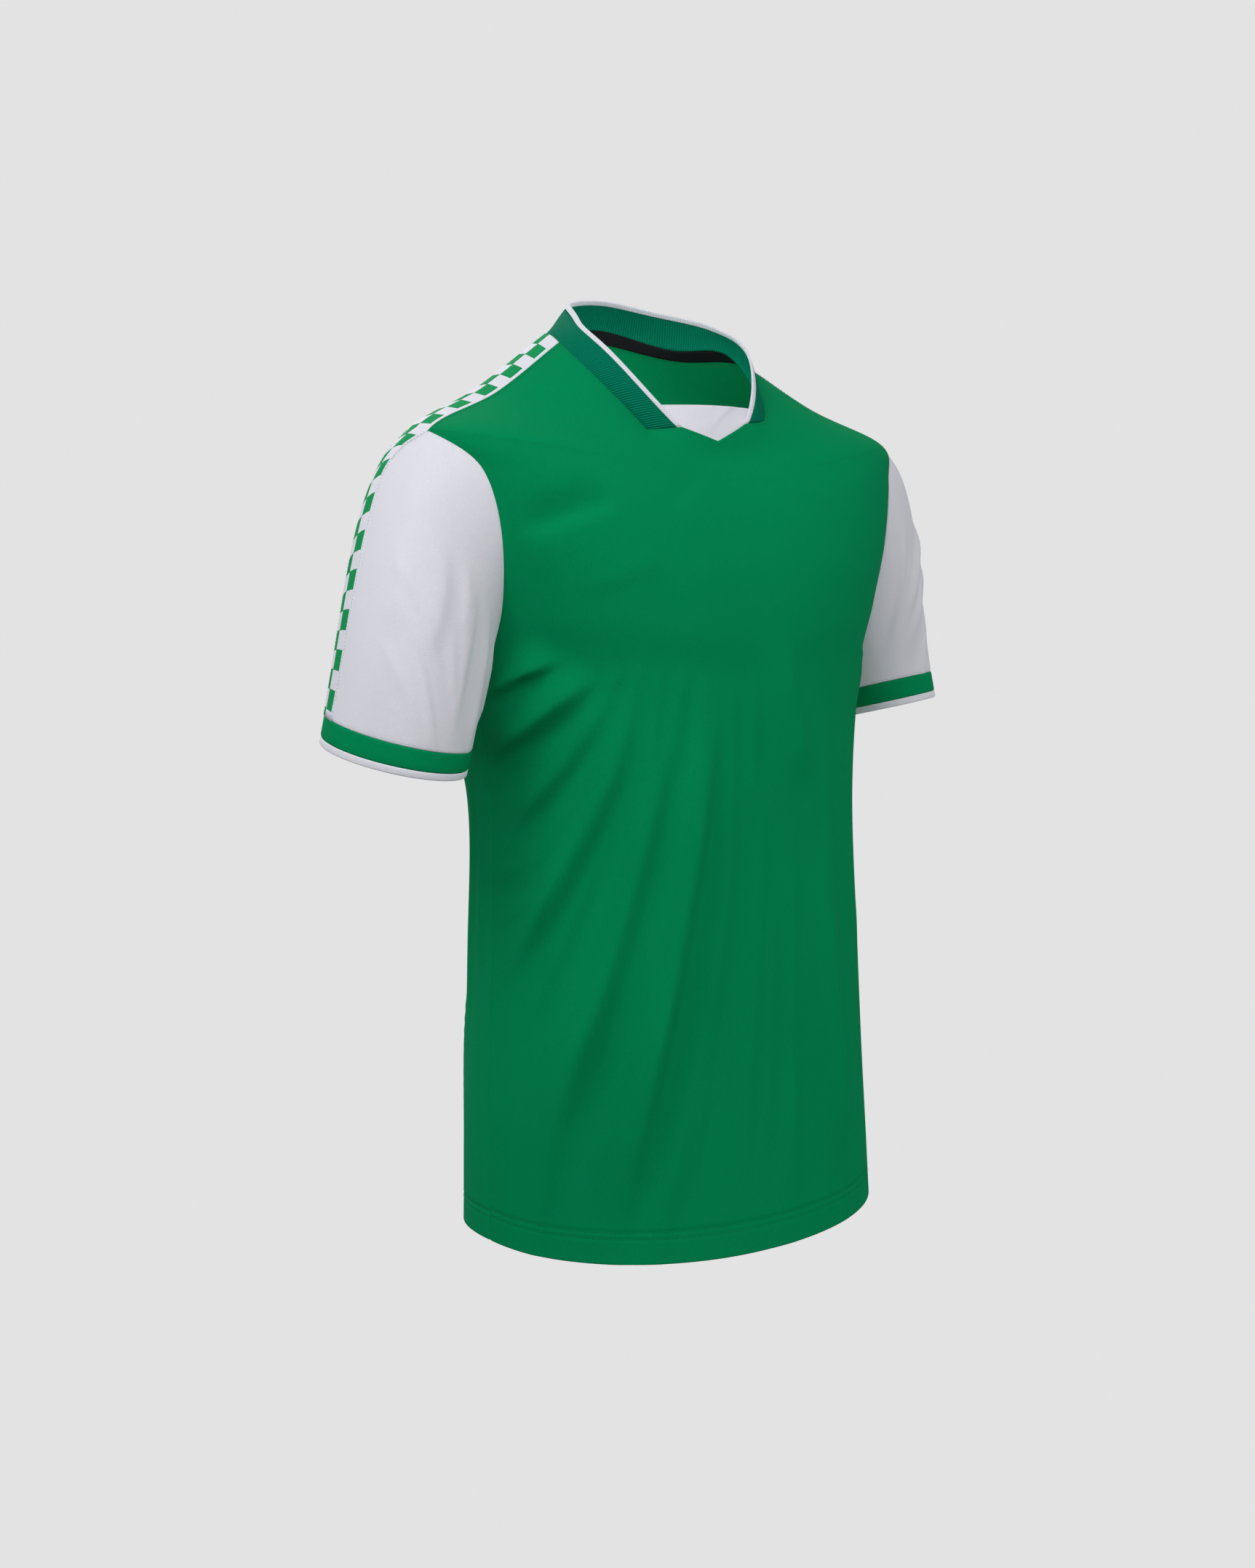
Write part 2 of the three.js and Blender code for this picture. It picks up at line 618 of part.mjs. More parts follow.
function collarGrid(from, to, steps) {
  const rows = [];
  for (let j = 0; j <= steps; j += 1) {
    rows.push(Array.from({ length: COLLAR_STEPS + 1 }, (_, i) => {
      const share = i / COLLAR_STEPS;
      const width = collarPoint(share, 0).distanceTo(collarPoint(share, 1));
      const across = THREE.MathUtils.lerp(from(width), to(width), j / steps);
      const n = collarNormal(share, across);
      const p = collarPoint(share, across);
      p.addScaledVector(n, COLLAR_BULGE * 4 * across * (1 - across));
      return { p, n };
    }));
  }
  return rows;
}

function neckNormal(angle) {
  const cloth = bodyPlainNormal(angle, NECK);
  const turn = ((angle % 360) + 360) % 360 - 360;
  const share = clamp((-CORNER_ANGLE - turn) / (360 - 2 * CORNER_ANGLE), 0, 1);
  const rib = collarNormal(share, 0);
  const front = turn > -CORNER_ANGLE || turn < CORNER_ANGLE - 360;
  return front ? { cloth, rib: rib.clone() } : { cloth: mitre(cloth, rib), rib: mitre(rib, cloth) };
}

function collarRib() {
  const rows = collarGrid(() => 0, (width) => 1 - COLLAR_TIP / width, 3);
  rows[0].forEach((at, i) => {
    const seamAngle = -CORNER_ANGLE - (i / COLLAR_STEPS) * (360 - 2 * CORNER_ANGLE);
    at.n = neckNormal(seamAngle).rib;
  });
  return wallGeometry(rows, { wall: RIB_WALL });
}

function collarTip() {
  const rows = collarGrid((width) => 1 - (COLLAR_TIP - SEAM_GAP) / width, () => 1, 1);
  return wallGeometry(rows, { wall: RIB_WALL });
}

// The light insert behind the V. Its lower part lies behind the front, its upper part closes
// the neck between the two ends of the collar.
function neckInsert() {
  const angles = spread(-INSERT_HALF_ANGLE, INSERT_HALF_ANGLE, 8);
  angles.unshift(-INSERT_HALF_ANGLE);
  const rows = [];
  for (const rise of [1, 0.5]) {
    rows.push(angles.map((angle) => {
      const seam = neckline(angle);
      const radius = Math.hypot(seam.x, seam.y - NECK_CENTRE_Y) - INSERT_BEHIND
        - (INSERT_LEAN - INSERT_BEHIND) * rise;
      const z = THREE.MathUtils.lerp(seam.z, INSERT_TOP_Z, rise);
      return { p: roundNeck(angle, { radius, z }), n: vec(0, -1, 0.3).normalize() };
    }));
  }
  for (const place of [NECK, (NECK + INSERT_LOW_ROW) / 2, INSERT_LOW_ROW]) {
    rows.push(angles.map((angle) => {
      const n = bodyPlainNormal(angle, place);
      return { p: bodyPlain(angle, place).addScaledVector(n, -INSERT_BEHIND), n };
    }));
  }
  return wallGeometry(rows, { wall: TRIM_WALL });
}

// Tape over the neck seam, inside the garment.
function neckTape() {
  const fronts = FRONT_MARKS.slice(-NECK_TAPE_FRONT);
  const rows = [NECK_TAPE_TOP, NECK_TAPE_ROW].map((place) => {
    const edge = 90 - tapeAngle(place);
    const half = tapeAngle(place) / 2;
    const list = [
      ...fronts.map((mark) => mark * edge), 90 - half, 90, 90 + half,
      ...BACK_MARKS.slice().reverse().map((mark) => 180 - mark * edge), 180,
    ];
    const right = list.slice(0, -1).reverse().map((angle) => 360 - angle);
    return [...list, ...right].map((angle) => {
      const n = bodyPlainNormal(angle, place);
      return { p: bodyPlain(angle, place), n };
    });
  });
  return wallGeometry(rows, { lift: -CLOTH - LIFT, wall: TRIM_WALL });
}

function cloth(name, color, roughness) {
  return new THREE.MeshStandardMaterial({ name, color, roughness, metalness: 0 });
}

const finish = {
  green: cloth('body_cloth', GREEN, 0.75),
  rib: cloth('rib_knit', RIB_GREEN, 0.85),
  white: cloth('white_cloth', WHITE, 0.75),
  black: cloth('black_tape', BLACK, 0.8),
};

const jersey = new THREE.Group();

function add(name, geometry, material) {
  const mesh = new THREE.Mesh(geometry, material);
  mesh.name = name;
  jersey.add(mesh);
}

add('front', panel(0, ARMHOLE_FRONT, FRONT_MARKS), finish.green);
add('back', panel(180, ARMHOLE_BACK, BACK_MARKS), finish.green);
for (const sleeve of SLEEVES) {
  add(`sleeve_${sleeve.name}`, sleeveBody(sleeve), finish.white);
  add(`cuff_band_${sleeve.name}`, cuffRing(sleeve, CUFF_BAND - SEAM_GAP, CUFF_TIP), finish.green);
  add(`cuff_tip_${sleeve.name}`, cuffRing(sleeve, CUFF_TIP - SEAM_GAP, 0), finish.white);
  add(`shoulder_tape_${sleeve.name}`, shoulderTape(sleeve), finish.white);
}
add('collar_rib', collarRib(), finish.rib);
add('collar_tip', collarTip(), finish.white);
add('neck_insert', neckInsert(), finish.white);
add('neck_tape', neckTape(), finish.black);

export default jersey;
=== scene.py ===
"""A short-sleeved football jersey in its worn form, dressed over its CAD frame.

Lengths are millimetres until a mesh is made. +Z is up, -Y the front, +X the wearer's left.
An angle round the body is 0 at the centre front, 90 at the wearer's left and 180 at the back.
A place along the body is 0 at the hem and 10 at the neckline.
"""
import math

import bmesh
import bpy
import numpy as np
from mathutils import Matrix, Vector


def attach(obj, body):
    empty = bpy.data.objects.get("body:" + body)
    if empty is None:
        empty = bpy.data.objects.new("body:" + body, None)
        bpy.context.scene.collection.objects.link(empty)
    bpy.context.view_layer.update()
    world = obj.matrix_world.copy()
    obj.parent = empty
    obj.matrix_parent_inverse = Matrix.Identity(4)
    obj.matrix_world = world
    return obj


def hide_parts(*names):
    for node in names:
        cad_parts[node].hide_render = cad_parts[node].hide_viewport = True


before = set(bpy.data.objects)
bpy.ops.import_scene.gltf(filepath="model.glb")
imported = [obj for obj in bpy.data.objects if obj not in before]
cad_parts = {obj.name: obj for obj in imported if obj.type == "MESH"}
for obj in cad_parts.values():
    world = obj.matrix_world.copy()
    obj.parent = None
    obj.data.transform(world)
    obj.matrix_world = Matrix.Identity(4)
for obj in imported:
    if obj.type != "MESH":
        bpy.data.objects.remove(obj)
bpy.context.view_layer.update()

bl_info = {
    "name": "Football jersey",
    "version": (1, 0, 0),
    "blender": (4, 5, 0),
    "location": "View3D > Sidebar > Jersey",
    "description": "Builds a worn football jersey from its named sizes and colours",
    "category": "Object",
}

MM = 0.001
BODY = "root"
CLOTH_UV = "cloth"


# Measured shape
def table(columns, *rows):
    """The columns of a table as arrays, by name."""
    return {name: np.array(values) for name, values in zip(columns.split(), zip(*rows))}


SECTIONS = table(
    "half front back square y z_front z_side z_back crest",
    (171.1, 135.9, 140.9, 2.3, 2.2, -713.0, -705.1, -718.2, 2),
    (167.7, 134.6, 133.5, 2.3, 2.6, -614.4, -608.4, -612.4, 2),
    (161.7, 132.6, 127.4, 2.3, -0.6, -484.4, -482.4, -484.4, 2),
    (158.7, 131.4, 119.9, 2.35, -1.1, -374.4, -372.4, -374.4, 2),
    (171.3, 132.5, 125.1, 2.4, -0.3, -280.4, -266.4, -270.4, 2),
    (184.0, 131.5, 125.0, 2.5, -3.5, -238.4, -214.4, -220.4, 1.9),
    (199.0, 126.0, 124.0, 2.55, -6.5, -194.4, -160.4, -164.4, 1.7),
    (210.7, 114.0, 119.0, 2.5, -8.5, -152.4, -111.5, -116.4, 1.4),
    (213.0, 99.0, 114.0, 2.4, -8.9, -124.4, -82.0, -94.0, 1.18),
    (150.2, 98.0, 95.0, 2.3, 0.9, -107.4, -50.2, -44.0, 1.12),
)
NECK = len(SECTIONS["half"])
UNDERARM = 4
SHOULDER = 8
NECK_CENTRE_Y = 4.1
CORNER_ANGLE = 33.5
VEE_ANGLE = 17.9
NECKLINE_BACK = table(
    "angle radius z",
    (-326.5, 100.7, -75.4),
    (-300.0, 90.0, -44.5),
    (-270.0, 82.0, -10.0),
    (-235.0, 75.2, -2.5),
    (-180.0, 70.2, 13.8),
    (-125.0, 77.1, -2.0),
    (-90.0, 86.0, -5.5),
    (-60.0, 99.5, -36.0),
    (-33.5, 97.4, -84.9),
)
NECKLINE_FRONT = table(
    "angle radius z",
    (-33.5, 97.4, -84.9),
    (-17.9, 96.8, -83.4),
    (0, 98.1, -93.8),
    (17.9, 97.8, -79.6),
    (33.5, 100.7, -75.4),
)
COLLAR_EDGE = table(
    "angle radius z",
    (-341.5, 97.2, -77.6),
    (-305.0, 84.2, -18.0),
    (-270.0, 71.8, 9.4),
    (-235.0, 61.5, 23.4),
    (-180.0, 54.0, 34.1),
    (-125.0, 57.5, 26.0),
    (-90.0, 60.5, 9.8),
    (-55.0, 84.2, -17.5),
    (-18.5, 96.6, -81.6),
)
ARMHOLE_FRONT = 20.4
ARMHOLE_BACK = 18.0
CUFF_BAND = 22.0
CUFF_TIP = 5.6
COLLAR_TIP = 4.5
COLLAR_BULGE = 1.5
NECK_TAPE_LOW = 9.81
NECK_TAPE_HIGH = 9.985
NECK_TAPE_ENDS = (42, 318)
NECK_TAPE_BEHIND = 1.9
INSERT_HALF_ANGLE = 30.0
INSERT_TOP_Z = -66.0
INSERT_LEAN = 9.5
INSERT_BEHIND = 2.6
INSERT_LOW = 9.35
CREASE_TOP = 14
CREASE_SLANT = 26
CREASE_HEIGHT = 0.9
CREASE_WIDTH = 3.5

SLEEVES = {
    "right": dict(side=-1, cuff=(-245.5, -12.7, -324.5), out=0.164, forward=-0.214,
                  half=53.7, depth=63.2, leave=0.6, under=1.2, reach=1.28),
    "left": dict(side=1, cuff=(243.7, 20.0, -312.8), out=0.131, forward=0.132,
                 half=52.8, depth=65.3, leave=0.6, under=0.6, reach=1.0),
}
TAPE_DRIFT = 18.0
DRIFT_END = 0.3
CAP_FALLOFF = 6
CAP_STEP = 0.5

# Folds: three points of each line as a turn and a distance along, its height, its width.
LARGE_FOLDS = (
    ((-58, -252), (-71, -268), (-84, -283), 4.5, 11),
    ((-50, -264), (-65, -298), (-86, -331), 5.0, 13),
    ((-47, -276), (-60, -334), (-84, -391), 3.0, 13),
    ((-39, -272), (-56.5, -392), (-85, -508), 5.0, 15),
    ((-28, -262), (-47, -463), (-71, -656), 5.5, 16),
    ((-14, -262), (-31, -476), (-49, -690), 6.0, 18),
    ((27, -395), (31, -547), (37, -696), 3.0, 16),
    ((11, -236), (17, -305), (22, -370), 2.0, 15),
    ((-45, -136), (-55, -150), (-68, -164), -2.5, 13),
    ((204, -270), (222, -455), (246, -640), 5.0, 17),
    ((176, -240), (184, -470), (196, -700), 4.5, 18),
    ((152, -260), (136, -435), (118, -610), 4.5, 16),
)
SMALL_FOLDS = (
    ((-62, -262), (-74, -286), (-86, -305), 1.6, 6),
    ((-55, -283), (-70, -318), (-87, -352), 1.4, 6),
    ((-66, -395), (-77, -412), (-88, -425), 1.2, 7),
    ((-70, -430), (-79, -448), (-88, -458), 1.2, 7),
    ((-44, -330), (-52, -400), (-63, -470), 1.3, 9),
    ((-33, -420), (-43, -510), (-55, -590), 1.4, 9),
    ((-20, -560), (-27, -630), (-35, -700), 1.4, 10),
    ((-8, -330), (-12, -440), (-20, -540), 1.5, 12),
    ((4, -420), (3, -540), (-2, -690), 1.6, 13),
    ((18, -440), (19, -560), (21, -690), 1.3, 12),
    ((44, -300), (50, -420), (55, -560), 1.8, 13),
    ((62, -330), (68, -470), (70, -640), 2.0, 14),
    ((56, -262), (66, -290), (80, -330), 2.0, 10),
    ((48, -250), (60, -262), (78, -280), 1.4, 8),
    ((-30, -180), (-42, -196), (-56, -206), 0.9, 10),
    ((30, -172), (42, -190), (55, -204), 0.9, 10),
    ((-12, -120), (-22, -132), (-32, -150), -0.8, 8),
    ((12, -118), (20, -134), (28, -152), -0.7, 8),
    ((262, -300), (256, -440), (252, -600), 2.2, 11),
    ((268, -330), (264, -420), (262, -520), 1.4, 7),
    ((236, -262), (250, -280), (264, -312), 2.2, 9),
    ((226, -270), (242, -310), (262, -366), 2.0, 10),
    ((214, -420), (224, -540), (238, -690), 1.6, 11),
    ((192, -300), (198, -430), (208, -560), 1.6, 12),
    ((166, -330), (163, -470), (160, -640), 1.8, 12),
    ((146, -440), (140, -560), (134, -700), 1.5, 11),
    ((124, -262), (112, -284), (98, -318), 2.2, 9),
    ((132, -270), (116, -318), (97, -372), 2.0, 10),
    ((108, -360), (104, -480), (102, -620), 1.8, 12),
    ((196, -96), (206, -130), (214, -180), 1.3, 13),
    ((164, -96), (154, -130), (146, -180), 1.3, 13),
    ((178, -60), (181, -110), (183, -160), -1.0, 14),
    ((-31, -476), (-41, -600), (-56, -800), 5.5, 12),
    ((-47, -463), (-60, -590), (-80, -790), 5.0, 11),
    ((-22, -520), (-32, -640), (-45, -800), 3.6, 10),
    ((29, -300), (33, -480), (37, -800), 3.6, 12),
    ((12, -560), (11, -660), (9, -800), 2.6, 12),
    ((212, -480), (230, -610), (252, -800), 2.8, 13),
    ((184, -480), (191, -620), (200, -820), 2.8, 14),
    ((138, -440), (128, -590), (116, -800), 2.8, 13),
    ((-58, -700), (-56, -690), (-54, -676), 1.0, 6),
    ((-10, -712), (-12, -700), (-15, -684), 0.9, 6),
    ((-6, -712), (-7, -702), (-9, -690), 0.7, 5),
)
# Drapes that fall from the bust, and softer folds between two neighbouring large ones.
DRAPES = (
    ((-43, -258), (-48, -286), (-54, -318), 1.6, 5),
    ((-37, -254), (-42, -296), (-48, -346), 1.8, 5),
    ((-32, -250), (-35, -300), (-39, -360), 1.5, 6),
    ((-25, -256), (-28, -304), (-32, -368), 1.7, 5.5),
    ((-19, -262), (-21, -320), (-25, -400), 1.4, 6),
    ((-8, -270), (-10, -330), (-14, -420), 1.5, 7),
    ((0, -262), (-1, -320), (-3, -400), 1.3, 7),
    ((20, -262), (23, -330), (26, -420), 1.4, 7),
)
SOFTER = (
    (2, 3, 0.5, 1.7, 6), (3, 4, 0.35, 1.8, 6), (3, 4, 0.7, 1.5, 5), (4, 5, 0.3, 1.8, 6),
    (4, 5, 0.65, 2.0, 6), (5, 6, 0.22, 1.8, 7), (5, 6, 0.45, 1.6, 8), (5, 6, 0.7, 1.5, 8),
    (9, 10, 0.35, 1.8, 8), (9, 10, 0.7, 1.6, 7), (10, 11, 0.4, 1.8, 8),
    (10, 11, 0.7, 1.6, 8),
)
# Folds round each sleeve: a turn from its top, positive to the front, and mm below the armhole.
SLEEVE_FOLDS = {
    "right": (
        ((52, -60), (66, -105), (60, -150), 1.2, 9),
        ((78, -44), (92, -90), (100, -150), 1.6, 9),
        ((100, -30), (118, -66), (128, -120), 1.8, 8),
        ((118, -16), (138, -40), (156, -60), 1.6, 7),
        ((30, -90), (40, -130), (38, -168), 0.8, 9),
        ((60, -150), (88, -168), (116, -172), 0.9, 7),
        ((73, -50), (80, -72), (86, -94), 0.8, 4),
        ((76, -100), (84, -114), (92, -130), 0.8, 4),
        ((36, -126), (62, -152), (92, -178), 0.8, 5),
        ((22, -112), (50, -122), (86, -138), 0.6, 5),
        ((58, -186), (82, -192), (106, -184), 0.7, 4),
        ((28, -166), (50, -176), (76, -188), 0.6, 5),
        ((-60, -40), (-78, -90), (-86, -150), 2.0, 10),
        ((-96, -24), (-118, -60), (-136, -110), 2.0, 9),
        ((-40, -70), (-48, -120), (-44, -165), 1.2, 10),
    ),
    "left": (
        ((24, -78), (54, -96), (86, -92), 2.6, 8),
        ((30, -104), (60, -116), (92, -104), 2.4, 8),
        ((60, -40), (84, -62), (112, -66), 1.6, 8),
        ((40, -140), (70, -152), (104, -150), 1.2, 8),
        ((-60, -40), (-78, -90), (-86, -140), 2.0, 10),
        ((-96, -24), (-118, -60), (-136, -100), 2.0, 9),
        ((-40, -70), (-48, -110), (-44, -150), 1.2, 10),
    ),
}
FOLD_FADE = 0.35
# How many times deeper the folds are than their heights above, which the solids keep.
DEEPER = 2.2
SLEEVE_DEEPER = 1.6
FOLD_STEPS = 16
FOLD_REACH = 60.0
LIT_SIDE = 1.3
SHADED_SIDE = 0.42
ARM_CALM = (1.02, 1.3)
SHOULDER_CALM = (7, 8)
HEM_CALM = 0.15
CAP_CALM = (0.02, 0.12)
CAP_RIPPLE_CALM = (0.02, 0.2)
CUFF_CALM = (0.85, 0.95)
SLEEVE_RADIUS = 58
RIPPLES = ((0.045, 0.013, 0.4, 0.35), (-0.08, 0.021, 1.7, 0.25), (0.11, -0.034, 2.9, 0.16))

ANGLE_STEP = 0.5
PLACE_STEP = 0.01
SHARE_STEP = 0.003
ACROSS_STEP = 0.02
DEGREES_PER_MM = 0.36
SEAM_STEPS = (0.0, 0.7, 1.6, 3.0)
SEAM_DIP = 0.4
SEAM_SOFTNESS = 1.1
SIDE_SEAM = 3.0
TUCK = 1.5
END_TUCK = 3.0
END_SINK = 0.9
FAR = 50.0
MERGE = 1e-6


def smooth(value, low, high):
    t = np.clip((value - low) / (high - low), 0, 1)
    return t * t * (3 - 2 * t)


def unit(vectors):
    return vectors / np.maximum(np.linalg.norm(vectors, axis=-1, keepdims=True), 1e-9)


def hermite(p1, m1, p2, m2, t):
    return ((2 * t**3 - 3 * t**2 + 1) * p1 + (t**3 - 2 * t**2 + t) * m1
            + (3 * t**2 - 2 * t**3) * p2 + (t**3 - t**2) * m2)


def spline(rows, angle):
    """Radius and height of a smooth line through a table's rows."""
    angles = rows["angle"]
    last = len(angles) - 1
    k = np.clip(np.searchsorted(angles, angle, side="left") - 1, 0, last - 1)
    span = angles[k + 1] - angles[k]
    t = (angle - angles[k]) / span

    def read(name):
        values = rows[name]

        def slope(i):
            low = np.maximum(i - 1, 0)
            high = np.minimum(i + 1, last)
            return (values[high] - values[low]) / (angles[high] - angles[low])

        return hermite(values[k], slope(k) * span, values[k + 1], slope(k + 1) * span, t)

    return read("radius"), read("z")


def round_neck(angle, radius, z):
    a = np.radians(angle)
    return np.stack([radius * np.sin(a), NECK_CENTRE_Y - radius * np.cos(a), z + 0 * a], -1)


def neckline(angle):
    turn = (angle + 180) % 360 - 180
    radius, z = spline(NECKLINE_BACK, np.where(turn > 0, turn - 360, turn))
    front = [np.interp(turn, NECKLINE_FRONT["angle"], NECKLINE_FRONT[n]) for n in ("radius", "z")]
    cut = np.abs(turn) <= CORNER_ANGLE
    return round_neck(turn, np.where(cut, front[0], radius), np.where(cut, front[1], z))


def section_point(index, angle):
    row = {name: values[np.clip(index, 0, NECK - 1)] for name, values in SECTIONS.items()}
    a = np.radians(angle)
    c, s = np.cos(a), np.sin(a)
    depth = np.where(c > 0, row["front"], row["back"])
    power = row["square"]
    r = (np.abs(c / depth) ** power + np.abs(s / row["half"]) ** power) ** (-1 / power)
    end = np.where(c > 0, row["z_front"], row["z_back"])
    z = row["z_side"] + (end - row["z_side"]) * np.abs(c) ** row["crest"]
    oval = np.stack([r * s, row["y"] - r * c, z], -1)
    return np.where((index >= NECK)[..., None], neckline(angle), oval)


def body_plain(angle, place):
    angle, place = np.broadcast_arrays(np.asarray(angle, float), np.asarray(place, float))
    at = np.clip(place, 0, NECK)
    i = np.minimum(np.floor(at).astype(int), NECK - 1)
    t = (at - i)[..., None]
    p1, p2 = section_point(i, angle), section_point(i + 1, angle)
    p0 = np.where((i > 0)[..., None], section_point(np.maximum(i - 1, 0), angle), 2 * p1 - p2)
    above = section_point(np.minimum(i + 2, NECK), angle)
    p3 = np.where((i + 2 <= NECK)[..., None], above, 2 * p2 - p1)
    return hermite(p1, (p2 - p0) / 2, p2, (p3 - p1) / 2, t)


def normal_at(surface, u, v, du, dv):
    a = surface(u + du, v) - surface(u - du, v)
    b = surface(u, v + dv) - surface(u, v - dv)
    return unit(np.cross(a, b))


def body_plain_normal(angle, place):
    at = np.clip(place, PLACE_STEP, NECK - PLACE_STEP)
    return normal_at(body_plain, angle, at, ANGLE_STEP, PLACE_STEP)


def armhole_distance(angle, place):
    turn = angle % 360
    from_side = np.where(turn > 180, turn - 270, 90 - turn)
    reach = np.where(from_side > 0, ARMHOLE_FRONT, ARMHOLE_BACK)
    middle = (UNDERARM + SHOULDER) / 2
    return np.hypot(from_side / reach, (place - middle) / (SHOULDER - middle))


def fold_line(start, middle, end):
    t = np.linspace(0, 1, FOLD_STEPS + 1)[:, None]
    start, middle, end = (np.array(p, float) for p in (start, middle, end))
    bend = 4 * (middle - (start + end) / 2)
    return start + (end - start) * t + bend * t * (1 - t)


def softer_folds():
    """A fold between each listed pair of large ones, part of the way from one to the other."""
    made = []
    for first, second, part, rise, width in SOFTER:
        ends = [np.array(LARGE_FOLDS[k][:3], float) for k in (first, second)]
        made.append((*(ends[0] + (ends[1] - ends[0]) * part), rise, width))
    return made


def fold_height(folds, turn, along, arc):
    """Height of the folds at a turn in degrees and a distance along; arc is mm a degree."""
    turn, along, arc = np.broadcast_arrays(turn, along, arc)
    total = np.zeros(turn.shape)
    for start, middle, end, rise, width in folds:
        line = fold_line(start, middle, end)
        near = (along < line[:, 1].max() + FOLD_REACH) & (along > line[:, 1].min() - FOLD_REACH)
        u, v, w = turn[near], along[near], arc[near]
        best = np.full(u.shape, np.inf)
        share = np.zeros(u.shape)
        side = np.zeros(u.shape)
        for k in range(FOLD_STEPS):
            x = ((u - line[k, 0] + 180) % 360 - 180) * w
            y = v - line[k, 1]
            step_x = (line[k + 1, 0] - line[k, 0]) * w
            step_y = line[k + 1, 1] - line[k, 1]
            t = np.clip((x * step_x + y * step_y) / (step_x**2 + step_y**2), 0, 1)
            distance = np.hypot(x - t * step_x, y - t * step_y)
            closer = distance < best
            best = np.where(closer, distance, best)
            share = np.where(closer, (k + t) / FOLD_STEPS, share)
            side = np.where(closer, step_x * y - step_y * x, side)
        wide = width * np.where(side < 0, LIT_SIDE, SHADED_SIDE)
        ends = smooth(share, 0, FOLD_FADE) * (1 - smooth(share, 1 - FOLD_FADE, 1))
        total[near] += rise * ends * np.exp(-((best / wide) ** 2))
    return total


def ripple(u, v):
    return sum(a * np.sin(u * f + v * g + phase) for f, g, phase, a in RIPPLES)


def body(angle, place):
    """The body's outer surface with its folds."""
    p = body_plain(angle, place)
    calm = smooth(armhole_distance(angle, place), *ARM_CALM)
    calm = calm * (HEM_CALM + (1 - HEM_CALM) * smooth(place, 0, 1))
    lower = 1 - smooth(place, *SHOULDER_CALM)
    arc = np.radians(np.hypot(p[..., 0], p[..., 1]))
    rise = fold_height(LARGE_FOLDS, angle, p[..., 2], arc) * calm * lower * DEEPER
    fine = (*SMALL_FOLDS, *DRAPES, *softer_folds())
    rise += fold_height(fine, angle, p[..., 2], arc) * calm
    rise += ripple(angle, p[..., 2]) * calm
    return p + body_plain_normal(angle, place) * rise[..., None]


def body_normal(angle, place):
    at = np.clip(place, PLACE_STEP, NECK - PLACE_STEP)
    return normal_at(body, angle, at, ANGLE_STEP, PLACE_STEP)


def sleeve_ends(sleeve, turn):
    side = sleeve["side"]
    t = np.radians(turn)
    reach = np.where(np.sin(t) > 0, ARMHOLE_FRONT, ARMHOLE_BACK)
    middle = (UNDERARM + SHOULDER) / 2
    place = middle + (SHOULDER - middle) * np.cos(t)
    start = body_plain(side * (90 - reach * np.sin(t)), place)
    out, forward = sleeve["out"], sleeve["forward"]
    along = unit(np.array([side * math.sin(out), -forward, -math.cos(out)]))
    outward = unit(np.array([side, 0, 0]) - along * side * along[0])
    ahead = unit(np.array([0, -1, 0]) + along * along[1])
    end = (np.array(sleeve["cuff"]) + outward * (sleeve["half"] * np.cos(t))[..., None]
           + ahead * (sleeve["depth"] * np.sin(t))[..., None])
    cap = unit(body_plain(side * 90, SHOULDER) - body_plain(side * 90, SHOULDER + CAP_STEP))
    high = (np.cos(t / 2) ** CAP_FALLOFF)[..., None]
    leave = unit(cap * high + along * (1 - high))
    length = np.linalg.norm(end - start, axis=-1, keepdims=True)
    strength = sleeve["under"] + (sleeve["leave"] - sleeve["under"]) * high
    return start, leave * length * strength, end, along * length * sleeve["reach"]


def sleeve_plain(sleeve, turn, share):
    turn, share = np.broadcast_arrays(np.asarray(turn, float), np.asarray(share, float))
    return hermite(*sleeve_ends(sleeve, turn), share[..., None])


def sleeve_rise(name, turn, share):
    """How far the sleeve's soft folds lift it off its plain shape."""
    start, _, end, _ = sleeve_ends(SLEEVES[name], turn)
    along = -share * np.linalg.norm(end - start, axis=-1)
    above_cuff = 1 - smooth(share, *CUFF_CALM)
    rise = fold_height(SLEEVE_FOLDS[name], turn, along, np.radians(SLEEVE_RADIUS)) * SLEEVE_DEEPER
    rise = rise * smooth(share, *CAP_CALM) * above_cuff
    return rise + ripple(turn, along) * smooth(share, *CAP_RIPPLE_CALM) * above_cuff


def share_above(sleeve, turn, distance):
    reach = sleeve_ends(sleeve, np.asarray(turn, float))[3]
    return 1 - distance / np.linalg.norm(reach, axis=-1)


def sleeve_normal(sleeve, turn, share):
    at = np.clip(share, PLACE_STEP, 1 - PLACE_STEP)
    n = normal_at(lambda u, v: sleeve_plain(sleeve, u, v), turn, at, ANGLE_STEP, PLACE_STEP)
    return n * sleeve["side"]


def collar_plain(share, across):
    share, across = np.broadcast_arrays(np.asarray(share, float), np.asarray(across, float))
    seam_angle = -CORNER_ANGLE - share * (360 - 2 * CORNER_ANGLE)
    edges = COLLAR_EDGE["angle"]
    edge_angle = edges[-1] + share * (edges[0] - edges[-1])
    low = round_neck(seam_angle, *spline(NECKLINE_BACK, seam_angle))
    high = round_neck(edge_angle, *spline(COLLAR_EDGE, edge_angle))
    return low + (high - low) * across[..., None]


def collar_normal(share, across):
    u = np.clip(share, SHARE_STEP, 1 - SHARE_STEP)
    v = np.clip(across, ACROSS_STEP, 1 - ACROSS_STEP)
    return -normal_at(collar_plain, u, v, SHARE_STEP, ACROSS_STEP)


